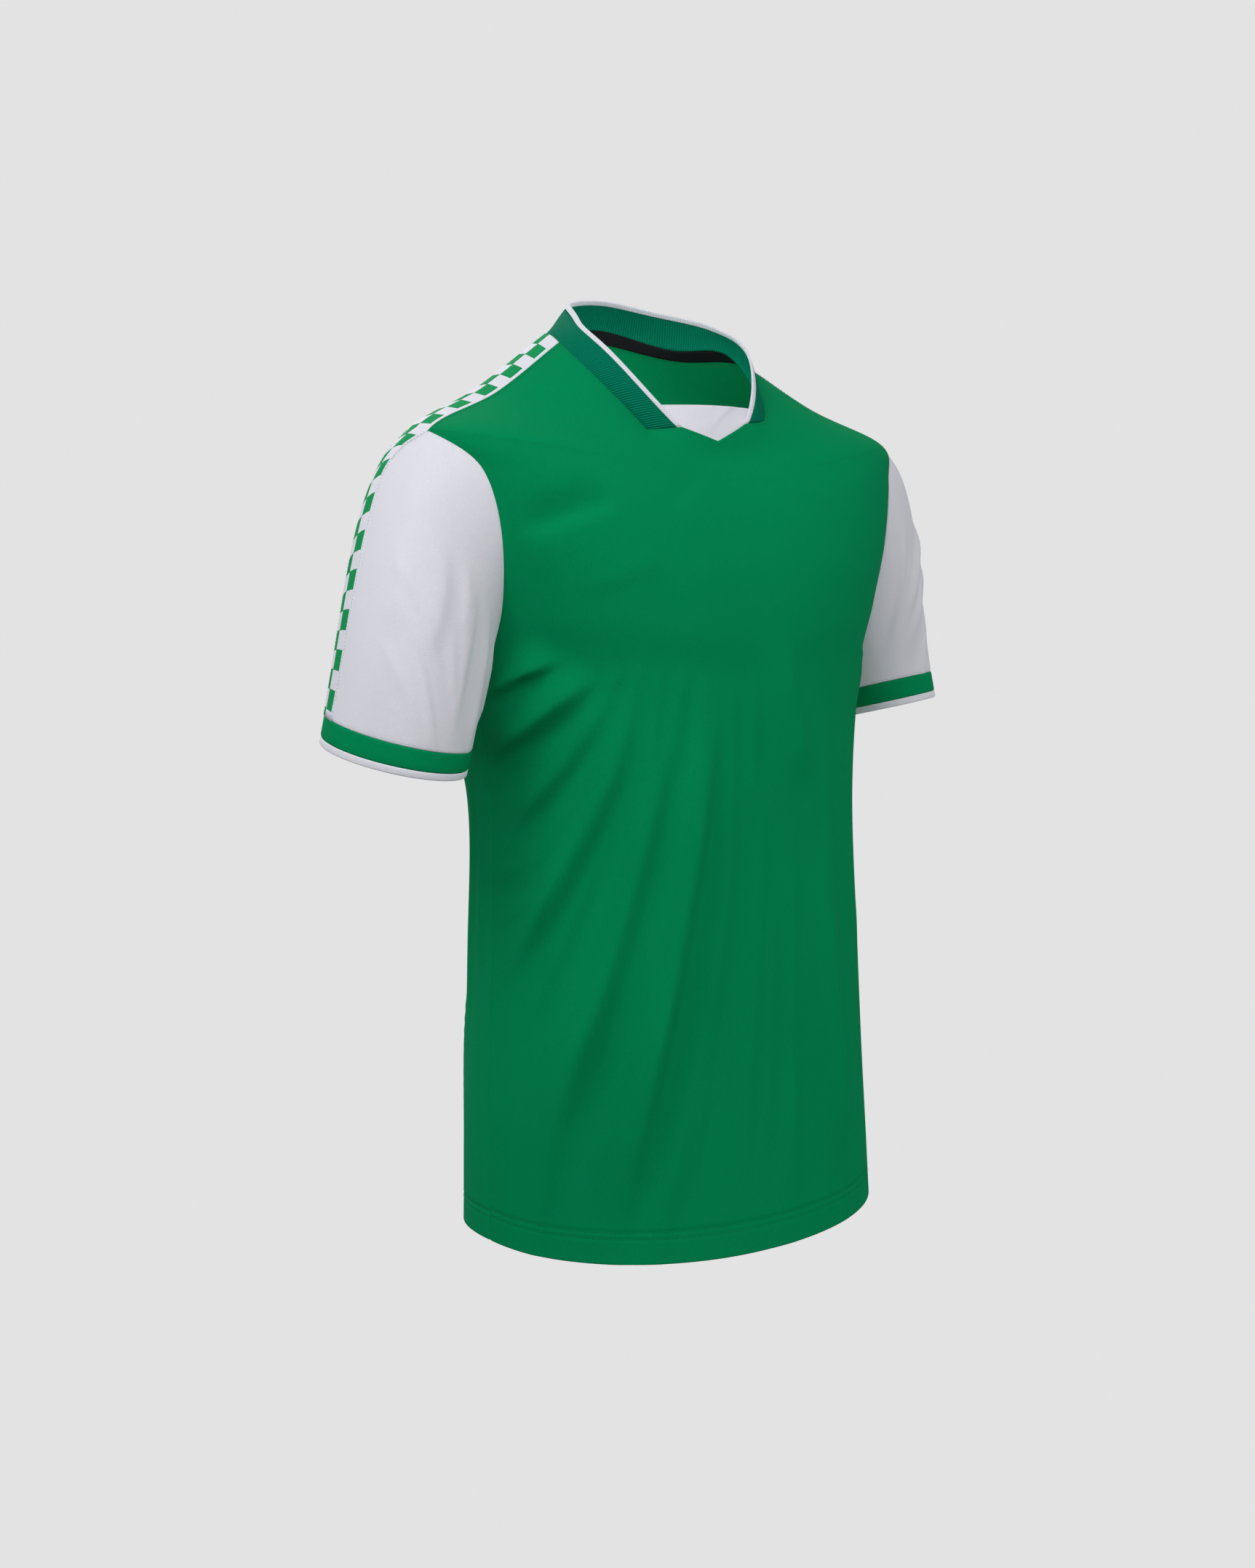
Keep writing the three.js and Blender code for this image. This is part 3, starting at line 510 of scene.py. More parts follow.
# Meshes
def lengths_along(points, axis):
    """Running length of a grid of points along one axis."""
    steps = np.linalg.norm(np.diff(points, axis=axis), axis=-1)
    zero = np.zeros_like(np.take(steps, [0], axis=axis))
    return np.cumsum(np.concatenate([zero, steps], axis=axis), axis=axis)


def cloth_grid(name, points, uv=None, closed=False):
    """A sheet through a grid of points, rows x columns, in mm. Its outside is row x column."""
    rows, columns = points.shape[:2]
    if uv is None:
        uv = np.stack([lengths_along(points, 1), -lengths_along(points, 0)], -1)
    bm = bmesh.new()
    layer = bm.loops.layers.uv.new(CLOTH_UV)
    bmesh.ops.create_grid(bm, x_segments=columns - 1, y_segments=rows - 1, size=1)
    for vert in bm.verts:
        i = round((vert.co.x + 1) / 2 * (columns - 1))
        j = round((vert.co.y + 1) / 2 * (rows - 1))
        vert.index = j * columns + i
    places = points.reshape(-1, 3) * MM
    flat = uv.reshape(-1, 2) * MM
    for face in bm.faces:
        for loop in face.loops:
            loop[layer].uv = flat[loop.vert.index]
    for vert in bm.verts:
        vert.co = places[vert.index]
    bmesh.ops.reverse_faces(bm, faces=bm.faces)
    if closed:
        bmesh.ops.remove_doubles(bm, verts=bm.verts, dist=MERGE)
    for face in bm.faces:
        face.smooth = True
    return finish_mesh(name, bm)


def strip_uv(points):
    """For a strip: one length along it for every row, taken at its middle row."""
    run = lengths_along(points, 1)[len(points) // 2]
    width = -lengths_along(points, 0)
    return np.stack([np.broadcast_to(run, width.shape), width], -1)


def finish_mesh(name, bm):
    mesh = bpy.data.meshes.new(name)
    bm.to_mesh(mesh)
    bm.free()
    piece = bpy.data.objects.new(name, mesh)
    bpy.context.scene.collection.objects.link(piece)
    return piece


def thicken(piece, wall):
    """Gives a sheet its thickness inwards."""
    solid = piece.modifiers.new("Wall", "SOLIDIFY")
    solid.thickness = wall * MM
    solid.offset = -1
    solid.use_even_offset = False
    return piece


def dress(piece, finish, nodes=()):
    """Hands a finished piece to the frame."""
    piece.data.materials.append(finish_of(finish))
    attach(piece, BODY)
    if nodes:
        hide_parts(*nodes)
    return piece


def sew(name, node, points, uv, wall, finish, closed=False):
    piece = thicken(cloth_grid(name, points, uv, closed), wall)
    dress(piece, finish, [node])


def seam_dip(*distances):
    """How deep the cloth sinks beside its seams."""
    nearest = np.minimum.reduce(np.broadcast_arrays(*distances))
    return SEAM_DIP * np.exp(-((nearest / SEAM_SOFTNESS) ** 2))


def spread(low, high, steps):
    return np.linspace(low, high, steps + 1)[1:]


# Columns of half a panel, from its middle to the last one beside the side seam.
HALF_COLUMNS = np.concatenate([
    [0], spread(0, VEE_ANGLE, 13), spread(VEE_ANGLE, CORNER_ANGLE, 11),
    spread(CORNER_ANGLE, 90 - 4.6 * DEGREES_PER_MM, 40),
])
YOKE_PLACES = np.arange(9.7, SHOULDER + 0.03, -0.06)
ARMHOLE_ROWS = 65
BODY_ROWS = 100
HEM_ROWS = 24
HEM_RADIUS = 0.95
HEM_STITCHED = 0.34
HEM_GROOVES = ((19.0, 1.3, 0.35), (24.0, 1.5, 0.6))
HEM_FOLD = np.radians((30, 60, 90, 120, 150, 180))
HEM_TURN = (2.0, 6.0, 10.0, 14.0, 18.0, 20.0)
SLEEVE_ROWS = 58


def panel_points(centre, reach):
    """Points of the front or the back, from the neck down, and on round the hem's fold."""
    seam = np.array(SEAM_STEPS[::-1])
    half = np.concatenate([HALF_COLUMNS, np.zeros(len(seam))])
    seam_mm = np.concatenate([np.full(len(HALF_COLUMNS), FAR), seam])
    fixed = np.concatenate([np.zeros(len(HALF_COLUMNS)), 90 - seam * DEGREES_PER_MM])
    inner_edge = HALF_COLUMNS[-1]

    middle = (UNDERARM + SHOULDER) / 2
    arm_turns = np.radians(np.linspace(0, 180, ARMHOLE_ROWS))
    places = np.concatenate([
        np.full(len(SEAM_STEPS), NECK), YOKE_PLACES,
        middle + (SHOULDER - middle) * np.cos(arm_turns),
        spread(UNDERARM, HEM_STITCHED, BODY_ROWS), spread(HEM_STITCHED, 0, HEM_ROWS),
    ])
    neck_mm = np.concatenate([SEAM_STEPS, np.zeros(len(places) - len(SEAM_STEPS))])

    t = (places - middle) / (SHOULDER - middle)
    cut_in = reach * np.sqrt(np.clip(1 - t * t, 0, None))[:, None]
    moved = half - cut_in * (half / inner_edge) ** 3
    half_angles = np.where(seam_mm == FAR, moved, fixed - cut_in)
    angles = np.concatenate([-half_angles[:, :0:-1], half_angles], axis=1) + centre
    seam_row = np.concatenate([seam_mm[:0:-1], seam_mm])

    up = np.linalg.norm(body_plain(angles[0], NECK) - body_plain(angles[0], NECK - 0.1), axis=-1)
    place = places[:, None] - neck_mm[:, None] * 0.1 / up
    side_mm = np.where((places < SHOULDER + 0.4)[:, None], seam_row, FAR)
    top_mm = np.where(np.arange(len(places)) < len(SEAM_STEPS), neck_mm, FAR)[:, None]
    dip = seam_dip(side_mm, top_mm)
    dip = dip * np.where((places < UNDERARM)[:, None], SIDE_SEAM, 1)
    above_edge = np.linalg.norm(body_plain(centre, places) - body_plain(centre, 0), axis=-1)
    for middle_mm, width, depth in HEM_GROOVES:
        dip = dip + depth * np.exp(-(((above_edge - middle_mm) / width) ** 2))[:, None]
    normals = body_plain_normal(angles, np.clip(place, 0.02, NECK))
    points = body(angles, place) - normals * dip[..., None]

    edge, n = points[-1], normals[-1]
    mid = len(seam_row) // 2
    turned = [edge + n * HEM_RADIUS * (math.cos(phi) - 1)
              + np.array([0, 0, -HEM_RADIUS * math.sin(phi)]) for phi in HEM_FOLD]
    for rise in HEM_TURN:
        k = np.argmin(np.abs(points[:, mid, 2] - edge[mid, 2] - rise))
        height = max(points[k, mid, 2] - edge[mid, 2], 1e-6)
        turned.append(edge + (points[k] - edge) * rise / height - n * 2 * HEM_RADIUS)
    return np.concatenate([points, np.array(turned)])


def panel_uv(points):
    """Lengths across from the middle and down from the neck."""
    across = lengths_along(points, 1)
    middle = points.shape[1] // 2
    across = across - across[:, middle:middle + 1]
    down = -lengths_along(points, 0)
    return np.stack([across, down], -1)


def sleeve_columns(sleeve):
    """Turns round a sleeve, close together at its seam, in the order that faces outwards."""
    ends = np.array(SEAM_STEPS[1:]) / math.radians(SLEEVE_RADIUS)
    wide = np.linspace(-175, 175, 118)
    turns = np.concatenate([[-180], -180 + ends, wide, 180 - ends[::-1], [180]])
    return turns[::-1] if sleeve["side"] > 0 else turns


def sleeve_points(name):
    """Points of a sleeve from its armhole to its cuff band."""
    sleeve = SLEEVES[name]
    turns = sleeve_columns(sleeve)
    last = share_above(sleeve, turns, CUFF_BAND)
    start, leave, end, _ = sleeve_ends(sleeve, turns)
    speed_top = np.linalg.norm(leave, axis=-1)
    length = np.linalg.norm(end - start, axis=-1)
    top = SEAM_STEPS[-1] / speed_top
    bottom = last - SEAM_STEPS[-1] / length
    marks = np.linspace(0, 1, SLEEVE_ROWS)[1:-1]
    share = np.array([
        *(mm / speed_top for mm in (-TUCK, *SEAM_STEPS)),
        *(top + (bottom - top) * mark for mark in marks),
        *(last - mm / length for mm in SEAM_STEPS[::-1]),
    ])
    seams = np.array([0, *SEAM_STEPS, *[FAR] * len(marks), *SEAM_STEPS[::-1]])[:, None]
    under = np.abs(np.abs(turns) - 180)[None, :] * math.radians(SLEEVE_RADIUS)
    normals = sleeve_normal(sleeve, turns, share)
    points = sleeve_plain(sleeve, turns, share)
    rise = sleeve_rise(name, turns[None, :], share) - seam_dip(seams, under)
    rise[0] -= SEAM_DIP
    return points + normals * rise[..., None]


def cuff_points(name, distances, lift):
    """Rows of a cuff at distances above its edge, each with its own lift off the sleeve."""
    sleeve = SLEEVES[name]
    turns = sleeve_columns(sleeve)
    share = np.array([share_above(sleeve, turns, d) for d in distances])
    normals = sleeve_normal(sleeve, turns, share)
    return sleeve_plain(sleeve, turns, share) + normals * np.array(lift)[:, None, None]


def rolled_edge(width, radius, steps=5):
    """Distances from a folded edge and lifts, from the outside round to the inside."""
    flat = np.linspace(width, radius, steps)
    phi = np.radians(np.linspace(0, 180, 9)[1:-1])
    distance = np.concatenate([flat, radius * (1 - np.sin(phi)), flat[::-1]])
    inside = np.full(steps, -2 * radius)
    lift = np.concatenate([np.zeros(steps), radius * (np.cos(phi) - 1), inside])
    return distance, lift


CUFF_STITCH_RISE = 2.2
NECK_STITCH_DROP = 2.4
BAND_WALL = 1.1
EDGE_WALL = 0.7
COLLAR_EDGE_WALL = 0.6
INSERT_WALL = 0.8
NECK_TAPE_WALL = 0.7
TAPE_WALL = 0.6
COLLAR_COLUMNS = 260
COLLAR_ROWS = 14
COLLAR_EDGE_RADIUS = 0.9
CUFF_EDGE_RADIUS = 0.8
CUFF_EDGE_BULGE = 0.25
# Distances below the top of a cuff band, or above its light edge, and the lift of each row.
BAND_FROM_TOP = ((0, -0.55), (0.6, 0.1), (1.4, 0.3), (3, 0.35))
BAND_FROM_EDGE = ((6, 0.35), (2, 0.3), (0.8, 0.1), (0, -0.4))
TAPE_MARKS = np.array([-1, -0.97, -0.9, -0.7, -0.5, -0.25, 0, 0.25, 0.5, 0.7, 0.9, 0.97, 1])
TAPE_TOP = 9.985
TAPE_ROWS = 60
TAPE_LIFT = 0.8
TAPE_EDGE_DROP = 0.35


def collar_grid(across, lift):
    """Points of the collar at shares of its width, each row with its own lift."""
    share = np.linspace(0, 1, COLLAR_COLUMNS)
    normals = collar_normal(share, across)
    bulge = COLLAR_BULGE * 4 * across * (1 - across)
    points = collar_plain(share, across) + normals * (bulge + lift[:, None])[..., None]
    return tuck_ends(points, normals)


def collar_width():
    """Width of the collar at each of its columns."""
    share = np.linspace(0, 1, COLLAR_COLUMNS)
    return np.linalg.norm(collar_plain(share, 0) - collar_plain(share, 1), axis=-1)


def collar_rib_points():
    """The rib, from below its seam to just under its light edge."""
    width = float(collar_width().mean())
    seam = (-TUCK, *SEAM_STEPS)
    rows = np.concatenate([seam, np.linspace(5, width - COLLAR_TIP - 1, COLLAR_ROWS)])
    tip = [1 - (COLLAR_TIP + 0.5) / width, 1 - COLLAR_TIP / width]
    across = np.concatenate([rows / width, tip])
    return collar_grid(across[:, None], np.concatenate([-seam_dip(rows), [-0.1, -0.45]]))


def collar_edge_points():
    """The rolled light edge."""
    distances, lift = rolled_edge(COLLAR_TIP - 0.1, COLLAR_EDGE_RADIUS)
    width = collar_width()
    return collar_grid(np.array([1 - d / width for d in distances]), lift)


def tuck_ends(points, normals):
    """Lengthens a collar piece at both front ends, so that they pass behind the front panel."""
    ends = []
    for end, next_to in ((0, 1), (-1, -2)):
        ahead = unit(points[:, end] - points[:, next_to])
        ends.append((points[:, end] + ahead * END_TUCK - normals[:, end] * END_SINK)[:, None])
    return np.concatenate([ends[0], points, ends[1]], axis=1)


def tape_points(name, width):
    """Points of the shoulder tape from the collar to the cuff, and across it."""
    sleeve = SLEEVES[name]
    side = sleeve["side"]
    marks = TAPE_MARKS
    places = np.linspace(TAPE_TOP, SHOULDER, TAPE_ROWS)

    def half_angle(place):
        return np.degrees(np.arcsin(width / 2 / np.abs(body_plain(-90, place)[..., 0])))

    angles = side * 90 + marks * half_angle(places)[:, None]
    upper = body(angles, places[:, None])
    upper_normals = body_plain_normal(angles, places[:, None])
    reach = np.where(marks * side < 0, ARMHOLE_FRONT, ARMHOLE_BACK)
    first = np.degrees(np.arcsin(half_angle(np.array(SHOULDER)) / reach))
    at_cuff = math.degrees(width / 2 / sleeve["depth"])
    part = np.linspace(0, 1, 64)[1:, None]
    turns = -side * marks * (first + (at_cuff - first) * part)
    turns = turns - TAPE_DRIFT * smooth(part, 0, DRIFT_END)
    share = part * share_above(sleeve, turns, CUFF_BAND)
    lower_normals = sleeve_normal(sleeve, turns, share)
    rise = sleeve_rise(name, turns, share)[..., None]
    lower = sleeve_plain(sleeve, turns, share) + lower_normals * rise
    points = np.concatenate([upper, lower])
    return points, np.concatenate([upper_normals, lower_normals])


def insert_points():
    """The light insert behind the V, from its top edge down."""
    angles = np.linspace(-INSERT_HALF_ANGLE, INSERT_HALF_ANGLE, 61)
    seam = neckline(angles)
    seam_radius = np.hypot(seam[:, 0], seam[:, 1] - NECK_CENTRE_Y)
    rows = []
    for rise in np.linspace(1, 0.1, 14):
        radius = seam_radius - INSERT_BEHIND - (INSERT_LEAN - INSERT_BEHIND) * rise
        z = seam[:, 2] + (INSERT_TOP_Z - seam[:, 2]) * rise
        across = angles - CREASE_TOP + CREASE_SLANT * (1 - rise)
        crease = CREASE_HEIGHT * np.exp(-((across / CREASE_WIDTH) ** 2)) * rise
        rows.append(round_neck(angles, radius + crease, z))
    for place in np.linspace(NECK, INSERT_LOW, 10):
        n = body_plain_normal(angles, place)
        rows.append(body_plain(angles, place) - n * INSERT_BEHIND)
    return np.array(rows)


def neck_tape_points():
    """The dark tape inside the neck, a little rounded across."""
    angles = np.linspace(*NECK_TAPE_ENDS, 180)
    centre = (NECK_TAPE_HIGH + NECK_TAPE_LOW) / 2
    rows = []
    for place in np.linspace(NECK_TAPE_HIGH, NECK_TAPE_LOW, 7):
        n = body_plain_normal(angles, place)
        middle = 1 - abs(place - centre) / (NECK_TAPE_HIGH - centre)
        rows.append(body_plain(angles, place) - n * (NECK_TAPE_BEHIND + 0.2 * middle))
    return np.array(rows)


def stitches(name, lines, length, gap, width, finish):
    """Rows of small stitches along lines, each a list of points and a list of normals in mm."""
    bm = bmesh.new()
    for points, normals in lines:
        run = lengths_along(points[None], 1)[0]
        count = int(run[-1] / (length + gap))
        for k in range(count):
            at = (k + 0.5) * run[-1] / count
            place, ahead, behind, up = (
                np.array([np.interp(d, run, line[:, c]) for c in range(3)])
                for d, line in ((at, points), (at + 1, points), (at - 1, points), (at, normals)))
            x = Vector(unit(ahead - behind))
            z = Vector(unit(up))
            y = z.cross(x).normalized()
            turn = Matrix((x, y, x.cross(y))).transposed().to_4x4()
            size = Matrix.Diagonal((length / 2 * MM, width / 2 * MM, width / 2 * MM, 1))
            matrix = Matrix.Translation(Vector(place * MM)) @ turn @ size
            bmesh.ops.create_icosphere(bm, subdivisions=1, radius=1, matrix=matrix)
    for face in bm.faces:
        face.smooth = True
    return dress(finish_mesh(name, bm), finish)


# Finishes
def arithmetic(operation, turned=False):
    """A method that adds a Math node; turned puts the other value first."""
    def combine(self, other):
        pair = (other, self) if turned else (self, other)
        settings = {"operation": operation}
        return self.finish.node("ShaderNodeMath", settings, dict(enumerate(pair)))

    return combine


class Value:
    """A shader socket that can be used in arithmetic."""

    def __init__(self, finish, socket):
        self.finish = finish
        self.socket = socket

    __add__, __radd__ = arithmetic("ADD"), arithmetic("ADD", True)
    __sub__, __rsub__ = arithmetic("SUBTRACT"), arithmetic("SUBTRACT", True)
    __mul__, __rmul__ = arithmetic("MULTIPLY"), arithmetic("MULTIPLY", True)
    __truediv__, __rtruediv__ = arithmetic("DIVIDE"), arithmetic("DIVIDE", True)
    __mod__ = arithmetic("FLOORED_MODULO")
    __gt__ = arithmetic("GREATER_THAN")
    __lt__ = arithmetic("LESS_THAN")


class Nodes:
    """A tree of shader nodes."""

    def __init__(self, tree):
        self.tree = tree

    def node(self, kind, settings=None, sockets=None, out=0):
        made = self.tree.nodes.new(kind)
        for key, value in (settings or {}).items():
            setattr(made, key, value)
        for key, value in (sockets or {}).items():
            self.join(made.inputs[key], value)
        return Value(self, made.outputs[out])

    def join(self, socket, value):
        if isinstance(value, Value):
            self.tree.links.new(value.socket, socket)
        else:
            socket.default_value = value

    def wave(self, value):
        return self.node("ShaderNodeMath", {"operation": "SINE"}, {0: value})

    def mix(self, factor, first, second):
        settings = {"data_type": "RGBA"}
        return self.node("ShaderNodeMix", settings, {0: factor, 6: first, 7: second}, out=2)

    def ramp(self, factor, *stops):
        """A grey that changes with the factor; each stop is a position and a brightness."""
        made = self.tree.nodes.new("ShaderNodeValToRGB")
        for k, (position, grey) in enumerate(stops):
            marks = made.color_ramp.elements
            mark = marks[k] if k < len(marks) else marks.new(position)
            mark.position = position
            mark.color = (grey, grey, grey, 1)
        self.join(made.inputs[0], factor)
        return Value(self, made.outputs[0])

    def cloth_place(self):
        """Distances across and along the cloth, in mm."""
        uv = self.node("ShaderNodeUVMap", {"uv_map": CLOTH_UV})
        across = self.node("ShaderNodeSeparateXYZ", sockets={0: uv}, out=0)
        along = self.node("ShaderNodeSeparateXYZ", sockets={0: uv}, out=1)
        return across * 1000, along * 1000

    def noise(self, scale, detail=2.0):
        spot = self.node("ShaderNodeTexCoord", out=3)
        return self.node("ShaderNodeTexNoise", sockets={"Vector": spot, "Scale": scale,
                                                        "Detail": detail})


class Finish(Nodes):
    """One material made from nodes."""

    def __init__(self, name, roughness, specular=0.02):
        self.material = bpy.data.materials.new(name)
        self.material.use_nodes = True
        super().__init__(self.material.node_tree)
        self.shader = next(n for n in self.tree.nodes if n.type == "BSDF_PRINCIPLED")
        self.shader.inputs["Roughness"].default_value = roughness
        self.shader.inputs["Specular IOR Level"].default_value = specular

    def set(self, name, value):
        self.join(self.shader.inputs[name], value)

    def bump(self, height, strength, distance):
        sockets = {"Height": height, "Strength": strength, "Distance": distance * MM}
        self.set("Normal", self.node("ShaderNodeBump", sockets=sockets))


def shade(colour, factor):
    return (*(min(c * factor, 1) for c in colour[:3]), 1)


def knit_finish(name, colour, wale, course, depth=0.5, roughness=0.85):
    """Fine interlock: upright wales crossed by courses, with a little uneven dye and grain."""
    finish = Finish(name, roughness)
    across, along = finish.cloth_place()
    ribs = finish.wave(across * (2 * math.pi / wale))
    loops = finish.wave(along * (2 * math.pi / course) + 1.3 * ribs)
    grain = finish.noise(900, 2)
    cloudy = finish.noise(7, 3)
    height = 0.3 * ribs + 0.3 * loops + 1.1 * grain
    tone = 0.5 + 0.18 * ribs * loops + 0.55 * (grain - 0.5) + 0.5 * (cloudy - 0.5)
    finish.set("Base Color", finish.mix(tone, shade(colour, 0.90), shade(colour, 1.10)))
    finish.set("Roughness", 0.07 * grain + (roughness - 0.035))
    finish.bump(height, depth, 0.25)
    return finish.material


def rib_finish(name, colour, pitch, depth=0.8, painted_groove_shade=0.62, crest=1.22):
    """Ribbed knit with rounded ribs, with shade painted into the grooves between them and light
    painted on the crests.
    """
    finish = Finish(name, 0.88)
    across, along = finish.cloth_place()
    rib = 0.5 + 0.5 * finish.wave(across * (2 * math.pi / pitch))
    loops = finish.wave(along * (2 * math.pi / 1.1))
    grain = finish.noise(1100, 2)
    # Painted shade and light: the colour is darker in the grooves and lighter on the crests (the
    # crest factor is painted light), following the ribs' and loops' relief; the grain is random
    # tone.
    tone = 0.62 * rib + 0.12 * loops + 0.4 * grain
    finish.set("Base Color", finish.mix(tone, shade(colour, painted_groove_shade), shade(colour, crest)))
    finish.bump(rib + 0.12 * loops + 0.2 * grain, depth, 0.55)
    return finish.material


def check_finish(name, ground, block, width, margin, pitch):
    """Two columns of blocks on a light woven tape, each column half a pitch from the other."""
    finish = Finish(name, 0.82)
    across, along = finish.cloth_place()
    column = (width - 2 * margin) / 2
    from_edge = across - margin
    inside = (from_edge > 0) * (from_edge < 2 * column)
    second = from_edge > column
    step = (along / pitch + 0.5 * second + 0.03) % 1
    dyed = inside * (step < 0.52)
    twill = finish.wave((across + along) * (2 * math.pi / 0.9))
    grain = finish.noise(1000, 2)
    # Painted light and shade: the twill is painted lighter along its raised lines and darker
    # between them; the grain is random tone.
    tone = 0.5 + 0.14 * twill + 0.4 * (grain - 0.5)
    light = finish.mix(tone, shade(ground, 0.93), shade(ground, 1.05))
    dark = finish.mix(tone, shade(block, 0.88), shade(block, 1.12))
    finish.set("Base Color", finish.mix(dyed, light, dark))
    finish.bump(0.35 * twill + 0.6 * grain + 0.2 * dyed, 0.4, 0.25)
    return finish.material


def ribbon_finish(name, colour):
    """Woven tape with fine cross ribs, painted lighter on the raised ribs and darker between
    them.
    """
    finish = Finish(name, 0.7, specular=0.15)
    across, along = finish.cloth_place()
    ribs = finish.wave(across * (2 * math.pi / 0.9))
    warp = finish.wave(along * (2 * math.pi / 1.2))
    # Painted light and shade: the tone follows the relief of the ribs and the warp, lighter on
    # top, darker between.
    tone = 0.5 + 0.25 * ribs + 0.15 * warp
    finish.set("Base Color", finish.mix(tone, shade(colour, 0.7), shade(colour, 1.5)))
    finish.bump(ribs + 0.4 * warp, 0.5, 0.2)
    return finish.material


def thread_finish(name, colour):
    finish = Finish(name, 0.6, specular=0.1)
    twist = finish.noise(2500, 1)
    finish.set("Base Color", finish.mix(twist, shade(colour, 0.8), shade(colour, 1.15)))
    finish.bump(twist, 0.3, 0.1)
    return finish.material


# Settings
def length(name, description, mm, **limits):
    """A size in the panel; its limits are in mm too."""
    limits = {key: value * MM for key, value in limits.items()}
    return bpy.props.FloatProperty(
        name=name, description=description, default=mm * MM, unit="LENGTH", **limits)


def colour(name, description, *rgb):
    """A colour in the panel."""
    return bpy.props.FloatVectorProperty(
        name=name, description=description, subtype="COLOR", size=4, default=(*rgb, 1),
        min=0, max=1)


class JerseySizes(bpy.types.PropertyGroup):
    """Sizes that a user would change."""

    cloth: length("Cloth", "Thickness of the body cloth", 0.9, min=0.2, max=1.4)
    rib: length("Rib knit", "Thickness of the ribbed collar", 1.6, min=0.5, max=1.8)
    rib_pitch: length("Rib pitch", "Distance between two ribs of the collar", 2.1)
    tape_width: length("Tape width", "Width of the shoulder tape", 34.5)
    check_pitch: length("Check pitch", "Distance from one block of the tape to the next", 28.8)
    stitch: length("Stitch", "Length of one stitch", 2.2)


class JerseyColours(bpy.types.PropertyGroup):
    """Colours that a user would change."""

    body: colour("Body", "Cloth of the front and back", 0.0005, 0.235, 0.083)
    rib: colour("Collar", "Ribbed collar", 0.001, 0.18, 0.1)
    light: colour("Sleeves", "Cloth of the sleeves and the insert", 0.725, 0.725, 0.79)
    block: colour("Blocks", "Dyed blocks of the shoulder tape", 0.006, 0.28, 0.085)
    dark: colour("Neck tape", "Tape over the neck seam", 0.006, 0.006, 0.008)


def sizes():
    return bpy.context.scene.jersey_sizes


def colours():
    return bpy.context.scene.jersey_colours


def finish_of(name):
    """The named material, made the first time that a piece asks for it."""
    found = bpy.data.materials.get(name)
    if found:
        return found
    c, s = colours(), sizes()
    makers = {
        "body_knit": lambda: knit_finish(name, c.body, 0.95, 0.8),
        "sleeve_knit": lambda: knit_finish(name, c.light, 0.95, 0.8),
        # The last two numbers of each rib finish are its painted groove shade and its painted
        # crest light.
        "cuff_rib": lambda: rib_finish(name, c.body, 1.1, 0.2, 0.9, 1.1),
        "cuff_piping": lambda: rib_finish(name, c.light, 1.1, 0.15, 0.92, 1.06),
        "collar_rib_knit": lambda: rib_finish(name, c.rib, s.rib_pitch / MM),
        "light_rib": lambda: rib_finish(name, c.light, s.rib_pitch / MM, 0.4, 0.86, 1.08),
        "checked_tape": lambda: check_finish(
            name, c.light, c.block, s.tape_width / MM, 3.0, s.check_pitch / MM),
        "neck_ribbon": lambda: ribbon_finish(name, c.dark),
        "green_thread": lambda: thread_finish(name, shade(c.body, 0.8)),
        "light_thread": lambda: thread_finish(name, shade(c.light, 0.9)),
        "tape_thread": lambda: thread_finish(name, (0.36, 0.52, 0.58, 1)),
    }
    return makers[name]()


# Operators
class Piece:
    """What the operators share."""

    bl_options = {"REGISTER"}


class JERSEY_OT_panels(Piece, bpy.types.Operator):
    """Makes the front and the back with their turned hems"""

    bl_idname = "jersey.panels"
    bl_label = "Front and back"

    def execute(self, context):
        for name, centre, reach in (("front", 0, ARMHOLE_FRONT), ("back", 180, ARMHOLE_BACK)):
            points = panel_points(centre, reach)
            sew(f"{name}_panel", name, points, panel_uv(points), sizes().cloth / MM,
                "body_knit")
        return {"FINISHED"}


class JERSEY_OT_sleeves(Piece, bpy.types.Operator):
    """Makes both sleeves, their cuff bands and the light edges"""

    bl_idname = "jersey.sleeves"
    bl_label = "Sleeves and cuffs"

    def execute(self, context):
        for name in SLEEVES:
            points = sleeve_points(name)
            sew(f"{name}_sleeve", f"sleeve_{name}", points, None, sizes().cloth / MM,
                "sleeve_knit", closed=True)

            distances = [CUFF_BAND - d for d, _ in BAND_FROM_TOP]
            distances += [CUFF_TIP + d for d, _ in BAND_FROM_EDGE]
            lift = [rise for _, rise in (*BAND_FROM_TOP, *BAND_FROM_EDGE)]
            points = cuff_points(name, distances, lift)
            sew(f"{name}_cuff_band", f"cuff_band_{name}", points, strip_uv(points), BAND_WALL,
                "cuff_rib", closed=True)

            distances, lift = rolled_edge(CUFF_TIP, CUFF_EDGE_RADIUS)
            bulge = CUFF_EDGE_BULGE * np.sin(np.pi * np.clip(distances / CUFF_TIP, 0, 1))
            points = cuff_points(name, distances, lift + bulge)
            sew(f"{name}_cuff_edge", f"cuff_tip_{name}", points, strip_uv(points), EDGE_WALL,
                "cuff_piping", closed=True)
        return {"FINISHED"}


class JERSEY_OT_collar(Piece, bpy.types.Operator):
    """Makes the ribbed collar, its light edge, the insert and the tape over the neck seam"""

    bl_idname = "jersey.collar"
    bl_label = "Collar"

    def execute(self, context):
        points = collar_rib_points()
        sew("ribbed_collar", "collar_rib", points, strip_uv(points), sizes().rib / MM,
            "collar_rib_knit")
        points = collar_edge_points()
        sew("collar_edge", "collar_tip", points, strip_uv(points), COLLAR_EDGE_WALL,
            "light_rib")
        sew("vee_insert", "neck_insert", insert_points(), None, INSERT_WALL,
            "sleeve_knit")
        sew("neck_ribbon", "neck_tape", neck_tape_points()[::-1, ::-1], None, NECK_TAPE_WALL,
            "neck_ribbon")
        return {"FINISHED"}


